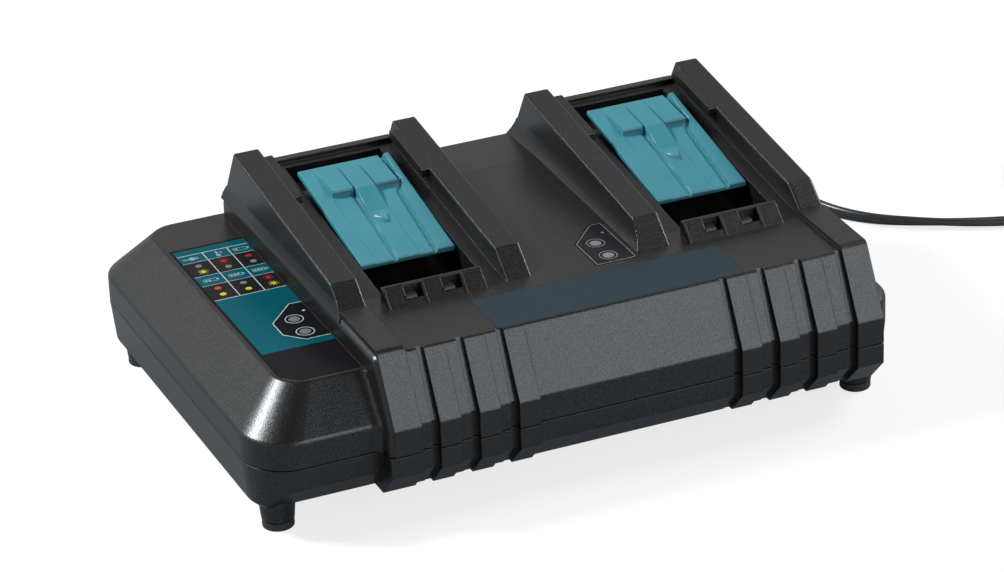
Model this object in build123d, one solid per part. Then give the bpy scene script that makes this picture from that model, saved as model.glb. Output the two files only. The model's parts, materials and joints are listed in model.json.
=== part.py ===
from build123d import *
import os
from math import atan2, cos, degrees, pi, radians, sin, sqrt, tan

# A two-bay charger for slide-on tool battery packs. Millimetres, +Z up, front towards -Y.
# The origin is under the middle of the housing, on the table.

# ---- docks and plan ------------------------------------------------------------------
DOCK_GAP = 62.6            # clear width between the two rail walls of a dock
DOCK_PITCH = 139.0         # from one dock to the next
LEFT_WALL = 12.4           # rail wall on a dock's left
RIGHT_WALL = 11.6          # rail wall on a dock's right
BEAD = 2.0                 # the dock block stands out this far beside the first rail wall
LABEL_SIDE = 54.6          # housing to the left of the dock block, with the status label
RIGHT_MARGIN = 13.8        # housing to the right of the dock block
OVERALL_DEPTH = 210.0
RIB_STEP = 2.0             # ribs stand this far proud of the front face
BODY_SETBACK = 9.2         # the label side lies this far behind the rib faces
BODY_CORNER = 20.0
# ---- heights -------------------------------------------------------------------------
BASE_Z = 12.0              # underside of the lower housing
TAPER_Z = 23.5             # the lower housing's front slants back below this height
PARTING_Z = 33.0
PARTING_GAP = 0.5          # shadow gap between the two housings
SHOULDER_Z = 44.6          # top of the upright band
PANEL_Z = 63.0             # label side's top face
DECK_Z = 72.5              # deck at its front edge
CREASE_Z = 74.5            # deck at its highest line
DECK_REAR_Z = 74.0
# ---- front-to-back lines, measured from the rib faces ---------------------------------
FACE_LEAN = 13.2           # the front face leans back this far up to the deck
CREASE_RUN = 161.0
DECK_RUN = 192.7           # rear edge of the dock block
PANEL_FRONT_RUN = 25.8     # label side's top face, front edge
PANEL_REAR_RUN = 194.7     # and rear edge
PANEL_SIDE_INSET = 18.6    # top face inset from the housing's sides
PANEL_CORNER = 13.0
# ---- housing walls --------------------------------------------------------------------
WALL = 2.6
FRONT_WALL = 4.2           # the ribbed front is thicker, because grooves are cut in it
FLOOR = 2.5
TONGUE = 1.2               # locating tongue inside the parting line
FIT = 0.1                  # clearance of moulded parts that locate each other
SIDE_DRAFT = 1.8           # lower housing narrows by this towards its underside
BOTTOM_RADIUS = 2.5
FRONT_TAPER = 11.0         # underside's front edge lies this far behind the front
# ---- rail walls -----------------------------------------------------------------------
WALL_FRONT_RUN = 53.0      # foot of a rail wall's front slope
WALL_TOP_FRONT_RUN = 66.3
WALL_TOP_FRONT_Z = 83.4
WALL_TOP_REAR_RUN = 178.5
WALL_TOP_REAR_Z = 97.8
WALL_EDGE = 1.2            # rounding of a rail wall's top edges
BACK_WALL_Z = 89.8         # low wall that closes a dock at the rear
BACK_WALL = 4.0
FLARE = 5.0                # cove at the left foot of the second dock's rail wall
STRIP_RISE = 2.0           # raised strip in front of the outer rail walls
LIP_REACH = 3.4            # rail lip over the battery's groove
LIP_THICKNESS = 4.5
LIP_FRONT_RUN = 136.5
LIP_LENGTH = 37.0
# ---- ribs and grooves of the front, from each end of the dock block --------------------
RIB_PITCH = 17.8
RIB_WIDTH = 9.4
GROOVE_WIDTH = 3.0
GROOVE_DEPTH = 1.5         # below the recessed face
END_RIB = 12.3
RIB_COUNT = 3              # narrow ribs at each side of the middle panel
# ---- terminal cover, its pit and its travel --------------------------------------------
COVER_WIDTH = 43.0
COVER_LENGTH = 74.0
COVER_DEPTH = 11.0
COVER_OFFSET = 1.6         # covers sit a little right of their dock's middle
COVER_TILT = 11.47         # degrees, falling towards the front
COVER_REAR_RUN = 162.8
COVER_REAR_Z = 90.75
COVER_SKIN = 2.2
COVER_WALL = 2.0
COVER_TRAVEL = 24.0
PIT_DEPTH = 14.0           # square to the cover's top
PIT_CLEAR = 1.0            # beside the cover
PIT_FRONT_RUN = 60.2
PIT_REAR_RUN = 176.0
PIT_WALL = 2.5
CHANNEL_FALL = 0.128       # slope of the floors beside the cover
RUNNER_REACH = 1.8         # cover's runner, in a groove of the pit's side
RUNNER_HEIGHT = 1.6
RUNNER_TOP = 8.4           # below the cover's top plane
RUNNER_CLEAR = 0.3
PAD_HEIGHT = 2.6
PAD_LENGTH = 23.4
# ---- status label, name plate and deck window -------------------------------------------
LABEL_MARGIN = 2.0         # label's edge to the top face's edge
LABEL_FRONT_RUN = 28.0
LABEL_REAR_RUN = 167.0
LABEL_THICKNESS = 0.4
PLATE_LEFT = 41.7          # from the first dock's left
PLATE_RIGHT = 155.6
PLATE_FRONT_RUN = 16.4
PLATE_REAR_RUN = 44.3
PLATE_THICKNESS = 0.6
SKIN_FIT = 0.15            # around a plate in its recess
LENS_RADIUS = 2.5
LENS_GAP = 0.2             # between a lens's collar and the housing's inside
LAMP_PITCH = 12.8
LABEL_LAMP_RUN = 68.7      # front lamp of the label
DECK_LAMP_RUN = 57.0       # front lamp of the deck window
DECK_LAMP_X = 28.0         # left of the second dock
LABEL_LAMP_X = 9.0         # left of the dock block
# ---- feet, screws and boards --------------------------------------------------------------
FOOT_INSET = 13.5          # from the housing's sides
FOOT_FRONT_RUN = 26.5
FOOT_REAR_RUN = 193.0
FOOT_RADIUS = 6.8
FOOT_PAD = 3.6
STEM_RADIUS = 7.0
STEM_ROOT_RADIUS = 8.0
STEM_Z = 4.2               # the rubber pad's neck is seen between pad and stem
PEG_RADIUS = 3.0
PEG_LENGTH = 6.0
SCREW_INSET = 30.0
SCREW_FRONT_RUN = 39.0
SCREW_REAR_RUN = 183.0
SCREW_RADIUS = 1.5
SCREW_LENGTH = 24.0
BOSS_RADIUS = 4.5
BOSS_Z = 30.0              # lower and upper screw bosses meet here
BOARD_Z = 22.0
BOARD_THICKNESS = 1.6
BOARD_WIDTH = 216.0
BOARD_DEPTH = 142.0
# ---- mains cord --------------------------------------------------------------------------
CORD_RADIUS = 2.2
CORD_EXIT_INSET = 22.0     # from the housing's right side
CORD_EXIT_Z = 24.0
RELIEF_LENGTH = 30.0
RELIEF_RADIUS = 5.3
RELIEF_SEAT = 8.0          # part of the strain relief inside the housing
COIL_RADIUS = 29.0         # middle of the turns
COIL_WIDTH = 16.4
COIL_HEIGHT = 10.4
PLUG_WIDTH = 35.3
PLUG_HEIGHT = 13.7
PLUG_LENGTH = 36.0
PIN_RADIUS = 2.0
PIN_LENGTH = 19.0
PIN_PITCH = 18.6

# ---- worked-out places -------------------------------------------------------------------
BODY_WIDTH = (LABEL_SIDE + BEAD + LEFT_WALL + DOCK_PITCH + DOCK_GAP + RIGHT_WALL
              + RIGHT_MARGIN)
BODY_LEFT = -BODY_WIDTH / 2
BODY_RIGHT = BODY_WIDTH / 2
BLOCK_LEFT = BODY_LEFT + LABEL_SIDE
BLOCK_RIGHT = BODY_RIGHT - RIGHT_MARGIN
FIRST_DOCK = BLOCK_LEFT + BEAD + LEFT_WALL
DOCKS = {"left": FIRST_DOCK, "right": FIRST_DOCK + DOCK_PITCH}
RIB_Y = -OVERALL_DEPTH / 2
REAR_Y = OVERALL_DEPTH / 2
FACE_Y = RIB_Y + RIB_STEP
BODY_Y = RIB_Y + BODY_SETBACK
DECK_Y = FACE_Y + FACE_LEAN
CREASE_Y = RIB_Y + CREASE_RUN
BLOCK_REAR_Y = RIB_Y + DECK_RUN
PANEL_Y = RIB_Y + PANEL_FRONT_RUN
PANEL_REAR_Y = RIB_Y + PANEL_REAR_RUN
PIT_Y = RIB_Y + PIT_FRONT_RUN
PIT_REAR_Y = RIB_Y + PIT_REAR_RUN
COVER_REAR_Y = RIB_Y + COVER_REAR_RUN
BOARD_TOP = BOARD_Z + BOARD_THICKNESS
FLOOR_TOP = BASE_Z + FLOOR
TILT = radians(COVER_TILT)
MIDDLE_LEFT = FIRST_DOCK + DOCK_GAP          # deck between the docks
MIDDLE_RIGHT = FIRST_DOCK + DOCK_PITCH
FEET = {
    "front_left": (BODY_LEFT + FOOT_INSET, RIB_Y + FOOT_FRONT_RUN),
    "front_right": (BODY_RIGHT - FOOT_INSET, RIB_Y + FOOT_FRONT_RUN),
    "rear_left": (BODY_LEFT + FOOT_INSET, RIB_Y + FOOT_REAR_RUN),
    "rear_right": (BODY_RIGHT - FOOT_INSET, RIB_Y + FOOT_REAR_RUN),
}
SCREWS = [(x, RIB_Y + run)
          for x in (BODY_LEFT + SCREW_INSET, BODY_RIGHT - SCREW_INSET)
          for run in (SCREW_FRONT_RUN, SCREW_REAR_RUN)]
CORD_X = BODY_RIGHT - CORD_EXIT_INSET
LABEL_LAMPS = [(BLOCK_LEFT - LABEL_LAMP_X, RIB_Y + LABEL_LAMP_RUN + i * LAMP_PITCH)
               for i in range(2)]
DECK_LAMPS = [(MIDDLE_RIGHT - DECK_LAMP_X, RIB_Y + DECK_LAMP_RUN + i * LAMP_PITCH)
              for i in range(2)]


# ---- helpers -----------------------------------------------------------------------------
def yz_prism(outline, x_low, x_high):
    """Prism along X with an outline of (y, z) points."""
    wire = Wire.make_polygon([(x_low, y, z) for y, z in outline])
    return extrude(Face(wire), amount=x_high - x_low, dir=(1, 0, 0))


def rounded_yz_prism(outline, radii, x_low, x_high):
    """Prism along X whose outline's corners are rounded, one radius for each."""
    line = FilletPolyline(*[(x_low, y, z) for y, z in outline], radius=radii, close=True)
    return extrude(Face(Wire(line.edges())), amount=x_high - x_low, dir=(1, 0, 0))


def xz_prism(outline, y_low, y_high):
    """Prism along Y with an outline of (x, z) points."""
    wire = Wire.make_polygon([(x, y_low, z) for x, z in outline])
    return extrude(Face(wire), amount=y_high - y_low, dir=(0, 1, 0))


def xy_prism(outline, z_low, z_high):
    """Prism along Z with an outline of (x, y) points."""
    wire = Wire.make_polygon([(x, y, z_low) for x, y in outline])
    return extrude(Face(wire), amount=z_high - z_low, dir=(0, 0, 1))


def span_box(x_low, x_high, y_low, y_high, z_low, z_high):
    """Box between two corners."""
    middle = ((x_low + x_high) / 2, (y_low + y_high) / 2, (z_low + z_high) / 2)
    return Pos(*middle) * Box(x_high - x_low, y_high - y_low, z_high - z_low)


def post(x, y, z_low, z_high, radius, top_radius=None):
    """Upright round post, or a cone where a top radius is given."""
    height = z_high - z_low
    shape = (Cylinder(radius, height) if top_radius is None
             else Cone(radius, top_radius, height))
    return Pos(x, y, (z_low + z_high) / 2) * shape


def rounded_plan(left, right, front, rear, corner, z):
    """Flat rounded rectangle at a height."""
    middle = Pos((left + right) / 2, (front + rear) / 2, z)
    return middle * RectangleRounded(right - left, rear - front, corner)


def deck_z(y):
    """Height of the deck in front of its crease."""
    return DECK_Z + (y - DECK_Y) * (CREASE_Z - DECK_Z) / (CREASE_Y - DECK_Y)


def roof_z(x, y):
    """Height of the upper housing's inside roof beside the docks."""
    if x < BLOCK_LEFT:
        return PANEL_Z - WALL
    return (deck_z(y) if y < CREASE_Y else DECK_REAR_Z) - WALL


def wall_top_z(y):
    """Height of a rail wall's top face."""
    run = y - RIB_Y - WALL_TOP_FRONT_RUN
    rise = WALL_TOP_REAR_Z - WALL_TOP_FRONT_Z
    return WALL_TOP_FRONT_Z + run * rise / (WALL_TOP_REAR_RUN - WALL_TOP_FRONT_RUN)


def channel_z(y):
    """Height of the floors beside a terminal cover."""
    return DECK_Z + (y - PIT_Y) * CHANNEL_FALL


def cover_z(y, below=0.0):
    """Height of the cover's top plane, or of a plane parallel to it and below it."""
    return COVER_REAR_Z - (COVER_REAR_Y - y) * tan(TILT) - below / cos(TILT)


def cover_middle(dock_left):
    """X of a terminal cover's middle."""
    return dock_left + DOCK_GAP / 2 + COVER_OFFSET


def cover_frame(dock_left):
    """Frame on the cover's top plane at its rear edge: X right, Y up the slope."""
    return Plane(origin=(cover_middle(dock_left), COVER_REAR_Y, COVER_REAR_Z),
                 x_dir=(1, 0, 0), z_dir=(0, -sin(TILT), cos(TILT)))


def slope_box(dock_left, x_low, x_high, s_low, s_high, w_low, w_high):
    """Box in the cover's frame: s runs down the slope from the rear edge, w is height."""
    shape = span_box(x_low, x_high, -s_high, -s_low, w_low, w_high)
    return cover_frame(dock_left).location * shape


def slope_prism(dock_left, outline, x_low, x_high):
    """Prism along X in the cover's frame with an outline of (s, w) points."""
    shape = yz_prism([(-s, w) for s, w in outline], x_low, x_high)
    return cover_frame(dock_left).location * shape


def slope_point(dock_left, x, s, w):
    """A point of the cover's frame in the part's frame."""
    return cover_frame(dock_left).from_local_coords(Vector(x, -s, w))


# ---- housing forms shared by outside and inside ---------------------------------------------
def body_plan(z, inset=0.0):
    """Plan of the main body at a height of the upper housing."""
    share = max(0.0, (z - SHOULDER_Z) / (PANEL_Z - SHOULDER_Z))
    side = inset + share * PANEL_SIDE_INSET
    front = BODY_Y + inset + share * (PANEL_Y - BODY_Y)
    rear = REAR_Y - inset - share * (REAR_Y - PANEL_REAR_Y)
    corner = BODY_CORNER - inset + share * (PANEL_CORNER - BODY_CORNER)
    return rounded_plan(BODY_LEFT + side, BODY_RIGHT - side, front, rear, corner, z)


def block_outline(front_y, rise=0.0, drop=0.0):
    """Side outline of the dock block, as (y, z) points."""
    top_y = DECK_Y + rise * FACE_LEAN / (DECK_Z - SHOULDER_Z)
    return [(front_y, PARTING_Z - drop), (front_y, SHOULDER_Z), (top_y, DECK_Z + rise),
            (CREASE_Y, CREASE_Z), (BLOCK_REAR_Y, DECK_REAR_Z),
            (BLOCK_REAR_Y, PARTING_Z - drop)]


def rib_spans():
    """Left and right edge of each raised rib of the front."""
    spans = [(BLOCK_LEFT + BEAD, BLOCK_LEFT + BEAD + END_RIB),
             (BLOCK_RIGHT - END_RIB, BLOCK_RIGHT)]
    for i in range(RIB_COUNT):
        left = BLOCK_LEFT + BEAD + LEFT_WALL + 7.9 + i * RIB_PITCH
        right = BLOCK_RIGHT - END_RIB - (i + 1) * RIB_PITCH - 1.5
        spans += [(left, left + RIB_WIDTH), (right, right + RIB_WIDTH)]
    return spans


def groove_edges():
    """Right edge of each groove of the front, which is a rib's left edge."""
    ends = (BLOCK_LEFT + BEAD,)
    return [left for left, right in rib_spans() if left not in ends]


def wall_outline(foot_z):
    """Side outline of a rail wall, as (y, z) points."""
    slope = (WALL_TOP_FRONT_RUN - WALL_FRONT_RUN) / (WALL_TOP_FRONT_Z - DECK_Z)
    foot_y = RIB_Y + WALL_FRONT_RUN - (DECK_Z - foot_z) * slope
    return [(foot_y, foot_z), (RIB_Y + WALL_TOP_FRONT_RUN, WALL_TOP_FRONT_Z),
            (RIB_Y + WALL_TOP_REAR_RUN, WALL_TOP_REAR_Z), (BLOCK_REAR_Y, DECK_REAR_Z),
            (BLOCK_REAR_Y, foot_z)]


def rail_wall_spans():
    """Left and right face of the four rail walls."""
    spans = []
    for left in DOCKS.values():
        spans.append((left - LEFT_WALL, left))
        spans.append((left + DOCK_GAP, left + DOCK_GAP + RIGHT_WALL))
    return spans


def pit_outline(floor, front, rear, top_z):
    """Side outline of a pit, or of the tub around it."""
    return [(front, cover_z(front, floor)), (rear, cover_z(rear, floor)),
            (rear, top_z), (front, top_z)]


# ---- upper housing --------------------------------------------------------------------------
def body_shell():
    """Band and shoulder of the main body, solid."""
    sections = [body_plan(PARTING_Z), body_plan(SHOULDER_Z), body_plan(PANEL_Z)]
    shape = loft(sections, ruled=True)
    bend = shape.edges().filter_by(lambda e: abs(e.center().Z - SHOULDER_Z) < 0.01)
    shape = fillet(bend, 3.0)
    rim = shape.edges().filter_by(lambda e: abs(e.center().Z - PANEL_Z) < 0.01)
    return fillet(rim, 1.5)


def block_shell():
    """Dock block with its beaded left edge, ribs and outer strips, solid."""
    bead_end = BLOCK_LEFT + BEAD + 6.0
    radii = [0, 3.0, 1.5, 0, 1.5, 0]
    block = rounded_yz_prism(block_outline(FACE_Y), radii, bead_end - 1.0, BLOCK_RIGHT)
    bead = rounded_yz_prism(block_outline(RIB_Y), [0, 5.0, 5.0, 0, 5.0, 0],
                            BLOCK_LEFT, bead_end)
    outer = bead.edges().filter_by(lambda e: abs(e.center().X - BLOCK_LEFT) < 0.01
                                   and e.center().Z > PARTING_Z + 0.1)
    block += fillet(outer, 3.5)
    for number, (left, right) in enumerate(rib_spans()):
        rise = STRIP_RISE if number < 2 else 0.0
        edge = 3.0 if number < 2 else 1.5
        outline = block_outline(RIB_Y, rise)[:3]
        back = RIB_Y + WALL_FRONT_RUN + 3.0 if number < 2 else DECK_Y + 6.0
        top = deck_z(back) + rise if number < 2 else deck_z(back)
        outline += [(back, top), (back, PARTING_Z)]
        block += rounded_yz_prism(outline, [0, 3.0, edge, 0, 0], left, right)
    return block


def corner_cove():
    """Cove where the dock block's left side meets the label side's front."""
    reach = 4.0
    corner = (BLOCK_LEFT, BODY_Y)
    arc_middle = (corner[0] - reach * (1 - sqrt(0.5)), corner[1] - reach * (1 - sqrt(0.5)))
    tip_left = (corner[0] - reach, corner[1])
    tip_front = (corner[0], corner[1] - reach)
    inside = 2.0

    def profile(z):
        arc = Edge.make_three_point_arc((*tip_left, z), (*arc_middle, z), (*tip_front, z))
        lines = [Edge.make_line((*tip_front, z), (tip_front[0] + inside, tip_front[1], z)),
                 Edge.make_line((tip_front[0] + inside, tip_front[1], z),
                                (corner[0] + inside, corner[1] + inside, z)),
                 Edge.make_line((corner[0] + inside, corner[1] + inside, z),
                                (tip_left[0], corner[1] + inside, z)),
                 Edge.make_line((tip_left[0], corner[1] + inside, z), (*tip_left, z))]
        return Face(Wire([arc] + lines))

    upright = extrude(profile(PARTING_Z), amount=SHOULDER_Z - PARTING_Z, dir=(0, 0, 1))
    lean = Vector(0, PANEL_Y - BODY_Y, PANEL_Z - SHOULDER_Z)
    return upright + extrude(profile(SHOULDER_Z), amount=lean.length, dir=lean)


def rail_walls():
    """The four rail walls with rounded top edges."""
    walls = []
    foot_z = DECK_Z - WALL
    for left, right in rail_wall_spans():
        wall = yz_prism(wall_outline(foot_z), left, right)
        top = wall.edges().filter_by(
            lambda e: abs(e.tangent_at(0.5).X) < 0.5 and e.center().Z > DECK_REAR_Z + 2)
        walls.append(fillet(top, WALL_EDGE))
    return walls


def wall_flares():
    """Coves at the left feet of the two left rail walls."""
    flares = []
    side = yz_prism(wall_outline(DECK_Z - WALL), BODY_LEFT, BODY_RIGHT)
    for left, reach in ((FIRST_DOCK - LEFT_WALL, BEAD),
                        (FIRST_DOCK + DOCK_PITCH - LEFT_WALL, FLARE)):
        height = 1.6 * reach
        foot_z = DECK_Z - 1.0
        foot = (left - reach, foot_z)
        head = (left, CREASE_Z + height)
        middle = (left - reach * 0.25, CREASE_Z + height * 0.28)
        y = RIB_Y + WALL_FRONT_RUN
        arc = Edge.make_three_point_arc((foot[0], y, foot[1]), (middle[0], y, middle[1]),
                                        (head[0], y, head[1]))
        lines = [Edge.make_line((head[0], y, head[1]), (left + 2.0, y, head[1])),
                 Edge.make_line((left + 2.0, y, head[1]), (left + 2.0, y, foot_z)),
                 Edge.make_line((left + 2.0, y, foot_z), (foot[0], y, foot_z))]
        prism = extrude(Face(Wire([arc] + lines)), amount=BLOCK_REAR_Y - y, dir=(0, 1, 0))
        flares.append(prism & side)
    return flares


def dock_floor(left):
    """Sloping floor of a dock with the low wall at its rear."""
    rear_slope = (BLOCK_REAR_Y - RIB_Y - WALL_TOP_REAR_RUN) / (WALL_TOP_REAR_Z - DECK_REAR_Z)
    back_y = BLOCK_REAR_Y - (BACK_WALL_Z - DECK_REAR_Z) * rear_slope
    inner_y = back_y - BACK_WALL
    outline = [(PIT_Y - 1.0, DECK_Z - WALL), (PIT_Y - 1.0, channel_z(PIT_Y)),
               (inner_y, channel_z(inner_y)), (inner_y, BACK_WALL_Z), (back_y, BACK_WALL_Z),
               (BLOCK_REAR_Y, DECK_REAR_Z), (BLOCK_REAR_Y, DECK_Z - WALL)]
    return yz_prism(outline, left, left + DOCK_GAP)


def rail_lips(left):
    """Two lips over the grooves of the battery's rails."""
    front = RIB_Y + LIP_FRONT_RUN
    rear = front + LIP_LENGTH
    drop = 0.3
    outline = [(front, wall_top_z(front) - drop), (rear, wall_top_z(rear) - drop),
               (rear, wall_top_z(rear) - LIP_THICKNESS),
               (front, wall_top_z(front) - LIP_THICKNESS)]
    radii = [0.8, 2.0, 2.0, 0.8]
    bite = 1.0
    return (rounded_yz_prism(outline, radii, left - bite, left + LIP_REACH)
            + rounded_yz_prism(outline, radii, left + DOCK_GAP - LIP_REACH,
                               left + DOCK_GAP + bite))


def entry_bracket(left):
    """Wedge in front of the pit with two windows and a ledge in each."""
    x_low, x_high = left + 7.6, left + 52.6
    toe_y = PIT_Y - 9.4
    top_y = PIT_Y - 1.4
    top_z = 80.0
    wedge = yz_prism([(toe_y, DECK_Z - WALL), (toe_y, deck_z(toe_y)), (top_y, top_z),
                      (PIT_Y - 0.2, top_z), (PIT_Y - 0.2, DECK_Z - WALL)], x_low, x_high)
    for window_low, window_high in ((16.9, 24.8), (34.0, 42.6)):
        wedge -= span_box(left + window_low, left + window_high, toe_y + 2.6, top_y - 0.4,
                          DECK_Z + 1.2, top_z + 1)
    return wedge


def upper_cavity():
    """Inside of the upper housing below the deck and the label side's top."""
    slack = 1.0
    roof = PANEL_Z - WALL
    slope_inset = WALL * 1.35
    low = body_plan(SHOULDER_Z, WALL)
    cavity = (extrude(body_plan(PARTING_Z - slack, WALL), amount=SHOULDER_Z - PARTING_Z
                      + slack, dir=(0, 0, 1))
              + loft([low, body_plan(roof, slope_inset)], ruled=True))
    front = FACE_Y + FRONT_WALL
    outline = [(front, PARTING_Z - slack), (front, SHOULDER_Z),
               (DECK_Y + FRONT_WALL, DECK_Z - WALL), (CREASE_Y, CREASE_Z - WALL),
               (BLOCK_REAR_Y - WALL, DECK_REAR_Z - WALL), (BLOCK_REAR_Y - WALL, PARTING_Z)]
    block_left = BLOCK_LEFT + WALL + 1.0
    cavity += yz_prism(outline, block_left, BLOCK_RIGHT - WALL)
    for left, right in rail_wall_spans():
        hollow = [(RIB_Y + WALL_TOP_FRONT_RUN - 8.0, DECK_Z - WALL - 1.0),
                  (RIB_Y + WALL_TOP_FRONT_RUN + 3.0, WALL_TOP_FRONT_Z - WALL),
                  (RIB_Y + WALL_TOP_REAR_RUN - WALL, WALL_TOP_REAR_Z - WALL - 1.2),
                  (BLOCK_REAR_Y - WALL - 1.2, DECK_REAR_Z - WALL - 1.0)]
        cavity += yz_prism(hollow, left + WALL, right - WALL)
    for left in DOCKS.values():
        rear = PIT_REAR_Y - 1.0
        ramp = [(PIT_Y + 2.0, DECK_Z - WALL - 1.0), (PIT_Y + 2.0, channel_z(PIT_Y) - WALL),
                (rear, channel_z(rear) - WALL), (rear, DECK_Z - WALL - 1.0)]
        cavity += yz_prism(ramp, left + WALL / 2, left + DOCK_GAP - WALL / 2)
        middle = cover_middle(left)
        half = COVER_WIDTH / 2 + PIT_CLEAR + PIT_WALL
        tub = pit_outline(PIT_DEPTH + PIT_WALL, PIT_Y - PIT_WALL, PIT_REAR_Y + PIT_WALL,
                          WALL_TOP_REAR_Z + 5)
        cavity -= yz_prism(tub, middle - half, middle + half)
    return cavity


def pit_cut(left):
    """Pit of one dock with the grooves for the cover's runners and the lead hole."""
    middle = cover_middle(left)
    half = COVER_WIDTH / 2 + PIT_CLEAR
    outline = pit_outline(PIT_DEPTH, PIT_Y, PIT_REAR_Y, WALL_TOP_REAR_Z + 5)
    cut = yz_prism(outline, middle - half, middle + half)
    reach = COVER_WIDTH / 2 + RUNNER_REACH + RUNNER_CLEAR
    cut += slope_box(left, -reach, reach, 0, COVER_LENGTH + COVER_TRAVEL - 2,
                     -RUNNER_TOP - RUNNER_HEIGHT - RUNNER_CLEAR, -RUNNER_TOP + RUNNER_CLEAR)
    cut += slope_box(left, -8, 8, 8, 16, -PIT_DEPTH - 2 * PIT_WALL, -PIT_DEPTH + 1)
    return cut


def groove_cuts():
    """Cutters of the deep grooves beside the ribs."""
    top_y = DECK_Y + GROOVE_DEPTH + 0.8
    out_y = RIB_Y - 5
    outline = [(out_y, BASE_Z - 5), (FACE_Y + GROOVE_DEPTH + FRONT_TAPER, BASE_Z - 1),
               (FACE_Y + GROOVE_DEPTH, TAPER_Z), (FACE_Y + GROOVE_DEPTH, SHOULDER_Z),
               (top_y, DECK_Z), (top_y, DECK_Z + 2), (out_y, DECK_Z + 2)]
    return [yz_prism(outline, edge - GROOVE_WIDTH, edge) for edge in groove_edges()]


def label_outline(gap=0.0):
    """Outline of the status label, or of its recess, as (x, y) points."""
    left = BODY_LEFT + PANEL_SIDE_INSET + LABEL_MARGIN - gap
    right = BLOCK_LEFT - 0.3 + gap
    front = RIB_Y + LABEL_FRONT_RUN - gap
    rear = RIB_Y + LABEL_REAR_RUN + gap
    cut = 7.0
    return [(left + cut, front), (right, front), (right, rear), (left, rear),
            (left, front + cut)]


def deck_plate(outline, gap, thickness):
    """Thin plate let into the deck, whose outline is (x, y) points."""
    x_middle = sum(x for x, y in outline) / len(outline)
    y_middle = sum(y for x, y in outline) / len(outline)
    wire = Wire.make_polygon([(x, y, deck_z(y)) for x, y in outline])
    face = Face(wire)
    if gap:
        wide = 1 + gap / min(abs(x - x_middle) for x, y in outline)
        deep = 1 + gap / min(abs(y - y_middle) for x, y in outline)
        outline = [(x_middle + (x - x_middle) * wide, y_middle + (y - y_middle) * deep)
                   for x, y in outline]
        face = Face(Wire.make_polygon([(x, y, deck_z(y)) for x, y in outline]))
    return extrude(face, amount=thickness, dir=(0, 0, -1))


def name_plate_outline():
    """Corners of the bare name plate on the deck's front."""
    return [(FIRST_DOCK + PLATE_LEFT, RIB_Y + PLATE_FRONT_RUN),
            (FIRST_DOCK + PLATE_RIGHT, RIB_Y + PLATE_FRONT_RUN),
            (FIRST_DOCK + PLATE_RIGHT, RIB_Y + PLATE_REAR_RUN),
            (FIRST_DOCK + PLATE_LEFT, RIB_Y + PLATE_REAR_RUN)]


def deck_window_outline(grow=0.0):
    """Corners of the lamp window beside the second dock."""
    right = MIDDLE_RIGHT - LEFT_WALL - FLARE
    front, rear = RIB_Y + 50.0, RIB_Y + 87.2
    bend_y, tip_x = RIB_Y + 72.8, right - 19.2
    return [(tip_x - grow, front - grow), (right + grow, front - grow),
            (right + grow, rear + grow), (tip_x + 13 - grow, rear + grow),
            (tip_x - grow, bend_y + grow)]


def lens_holes(radius):
    """Round holes under the four lamps."""
    holes = [post(x, y, PANEL_Z - 10, PANEL_Z + 5, radius) for x, y in LABEL_LAMPS]
    holes += [post(x, y, DECK_Z - 10, DECK_Z + 5, radius) for x, y in DECK_LAMPS]
    return holes


def upper_housing():
    """Upper housing: label side, ribbed front, deck, rail walls and pits."""
    shape = body_shell() + block_shell() + corner_cove()
    for wall in rail_walls() + wall_flares():
        shape += wall
    for left in DOCKS.values():
        shape += dock_floor(left)
        shape += rail_lips(left)
    shape -= upper_cavity()
    for left in DOCKS.values():
        shape += entry_bracket(left)
    for x, y in SCREWS:
        shape += post(x, y, BOSS_Z, roof_z(x, y) + 0.5, BOSS_RADIUS)
        shape -= post(x, y, BOSS_Z - 1, BASE_Z + SCREW_LENGTH + 6, SCREW_RADIUS + FIT)
    for left in DOCKS.values():
        shape -= pit_cut(left)
    for cutter in groove_cuts() + lens_holes(LENS_RADIUS + FIT):
        shape -= cutter
    shape -= xy_prism(label_outline(SKIN_FIT), PANEL_Z - LABEL_THICKNESS, PANEL_Z + 1)
    shape -= deck_plate(name_plate_outline(), SKIN_FIT, PLATE_THICKNESS)
    shape -= deck_plate(deck_window_outline(SKIN_FIT), 0.0, PLATE_THICKNESS)
    return shape


# ---- lower housing --------------------------------------------------------------------------
def lower_plan(z, inset):
    """Rounded plan of the lower housing."""
    return rounded_plan(BODY_LEFT + inset, BODY_RIGHT - inset, BODY_Y + inset,
                        REAR_Y - inset, BODY_CORNER - inset, z)


def front_profile(front_y, low, high, setback=0.0):
    """Side outline of the lower housing's front: upright, then slanting back."""
    return [(front_y, high), (front_y, TAPER_Z + setback),
            (front_y + FRONT_TAPER, low), (REAR_Y - 30, low), (REAR_Y - 30, high)]


def inner_plan(extra, z):
    """Inside outline of both housings at the parting line."""
    gap = WALL + extra
    body = rounded_plan(BODY_LEFT + gap, BODY_RIGHT - gap, BODY_Y + gap, REAR_Y - gap,
                        BODY_CORNER - gap, z)
    front = FACE_Y + FRONT_WALL + extra
    left = BLOCK_LEFT + WALL + 1.0 + extra
    right = BLOCK_RIGHT - WALL - extra
    block = Pos((left + right) / 2, (front + BODY_Y + 40) / 2, z) * Rectangle(
        right - left, BODY_Y + 40 - front)
    return body + block


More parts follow.
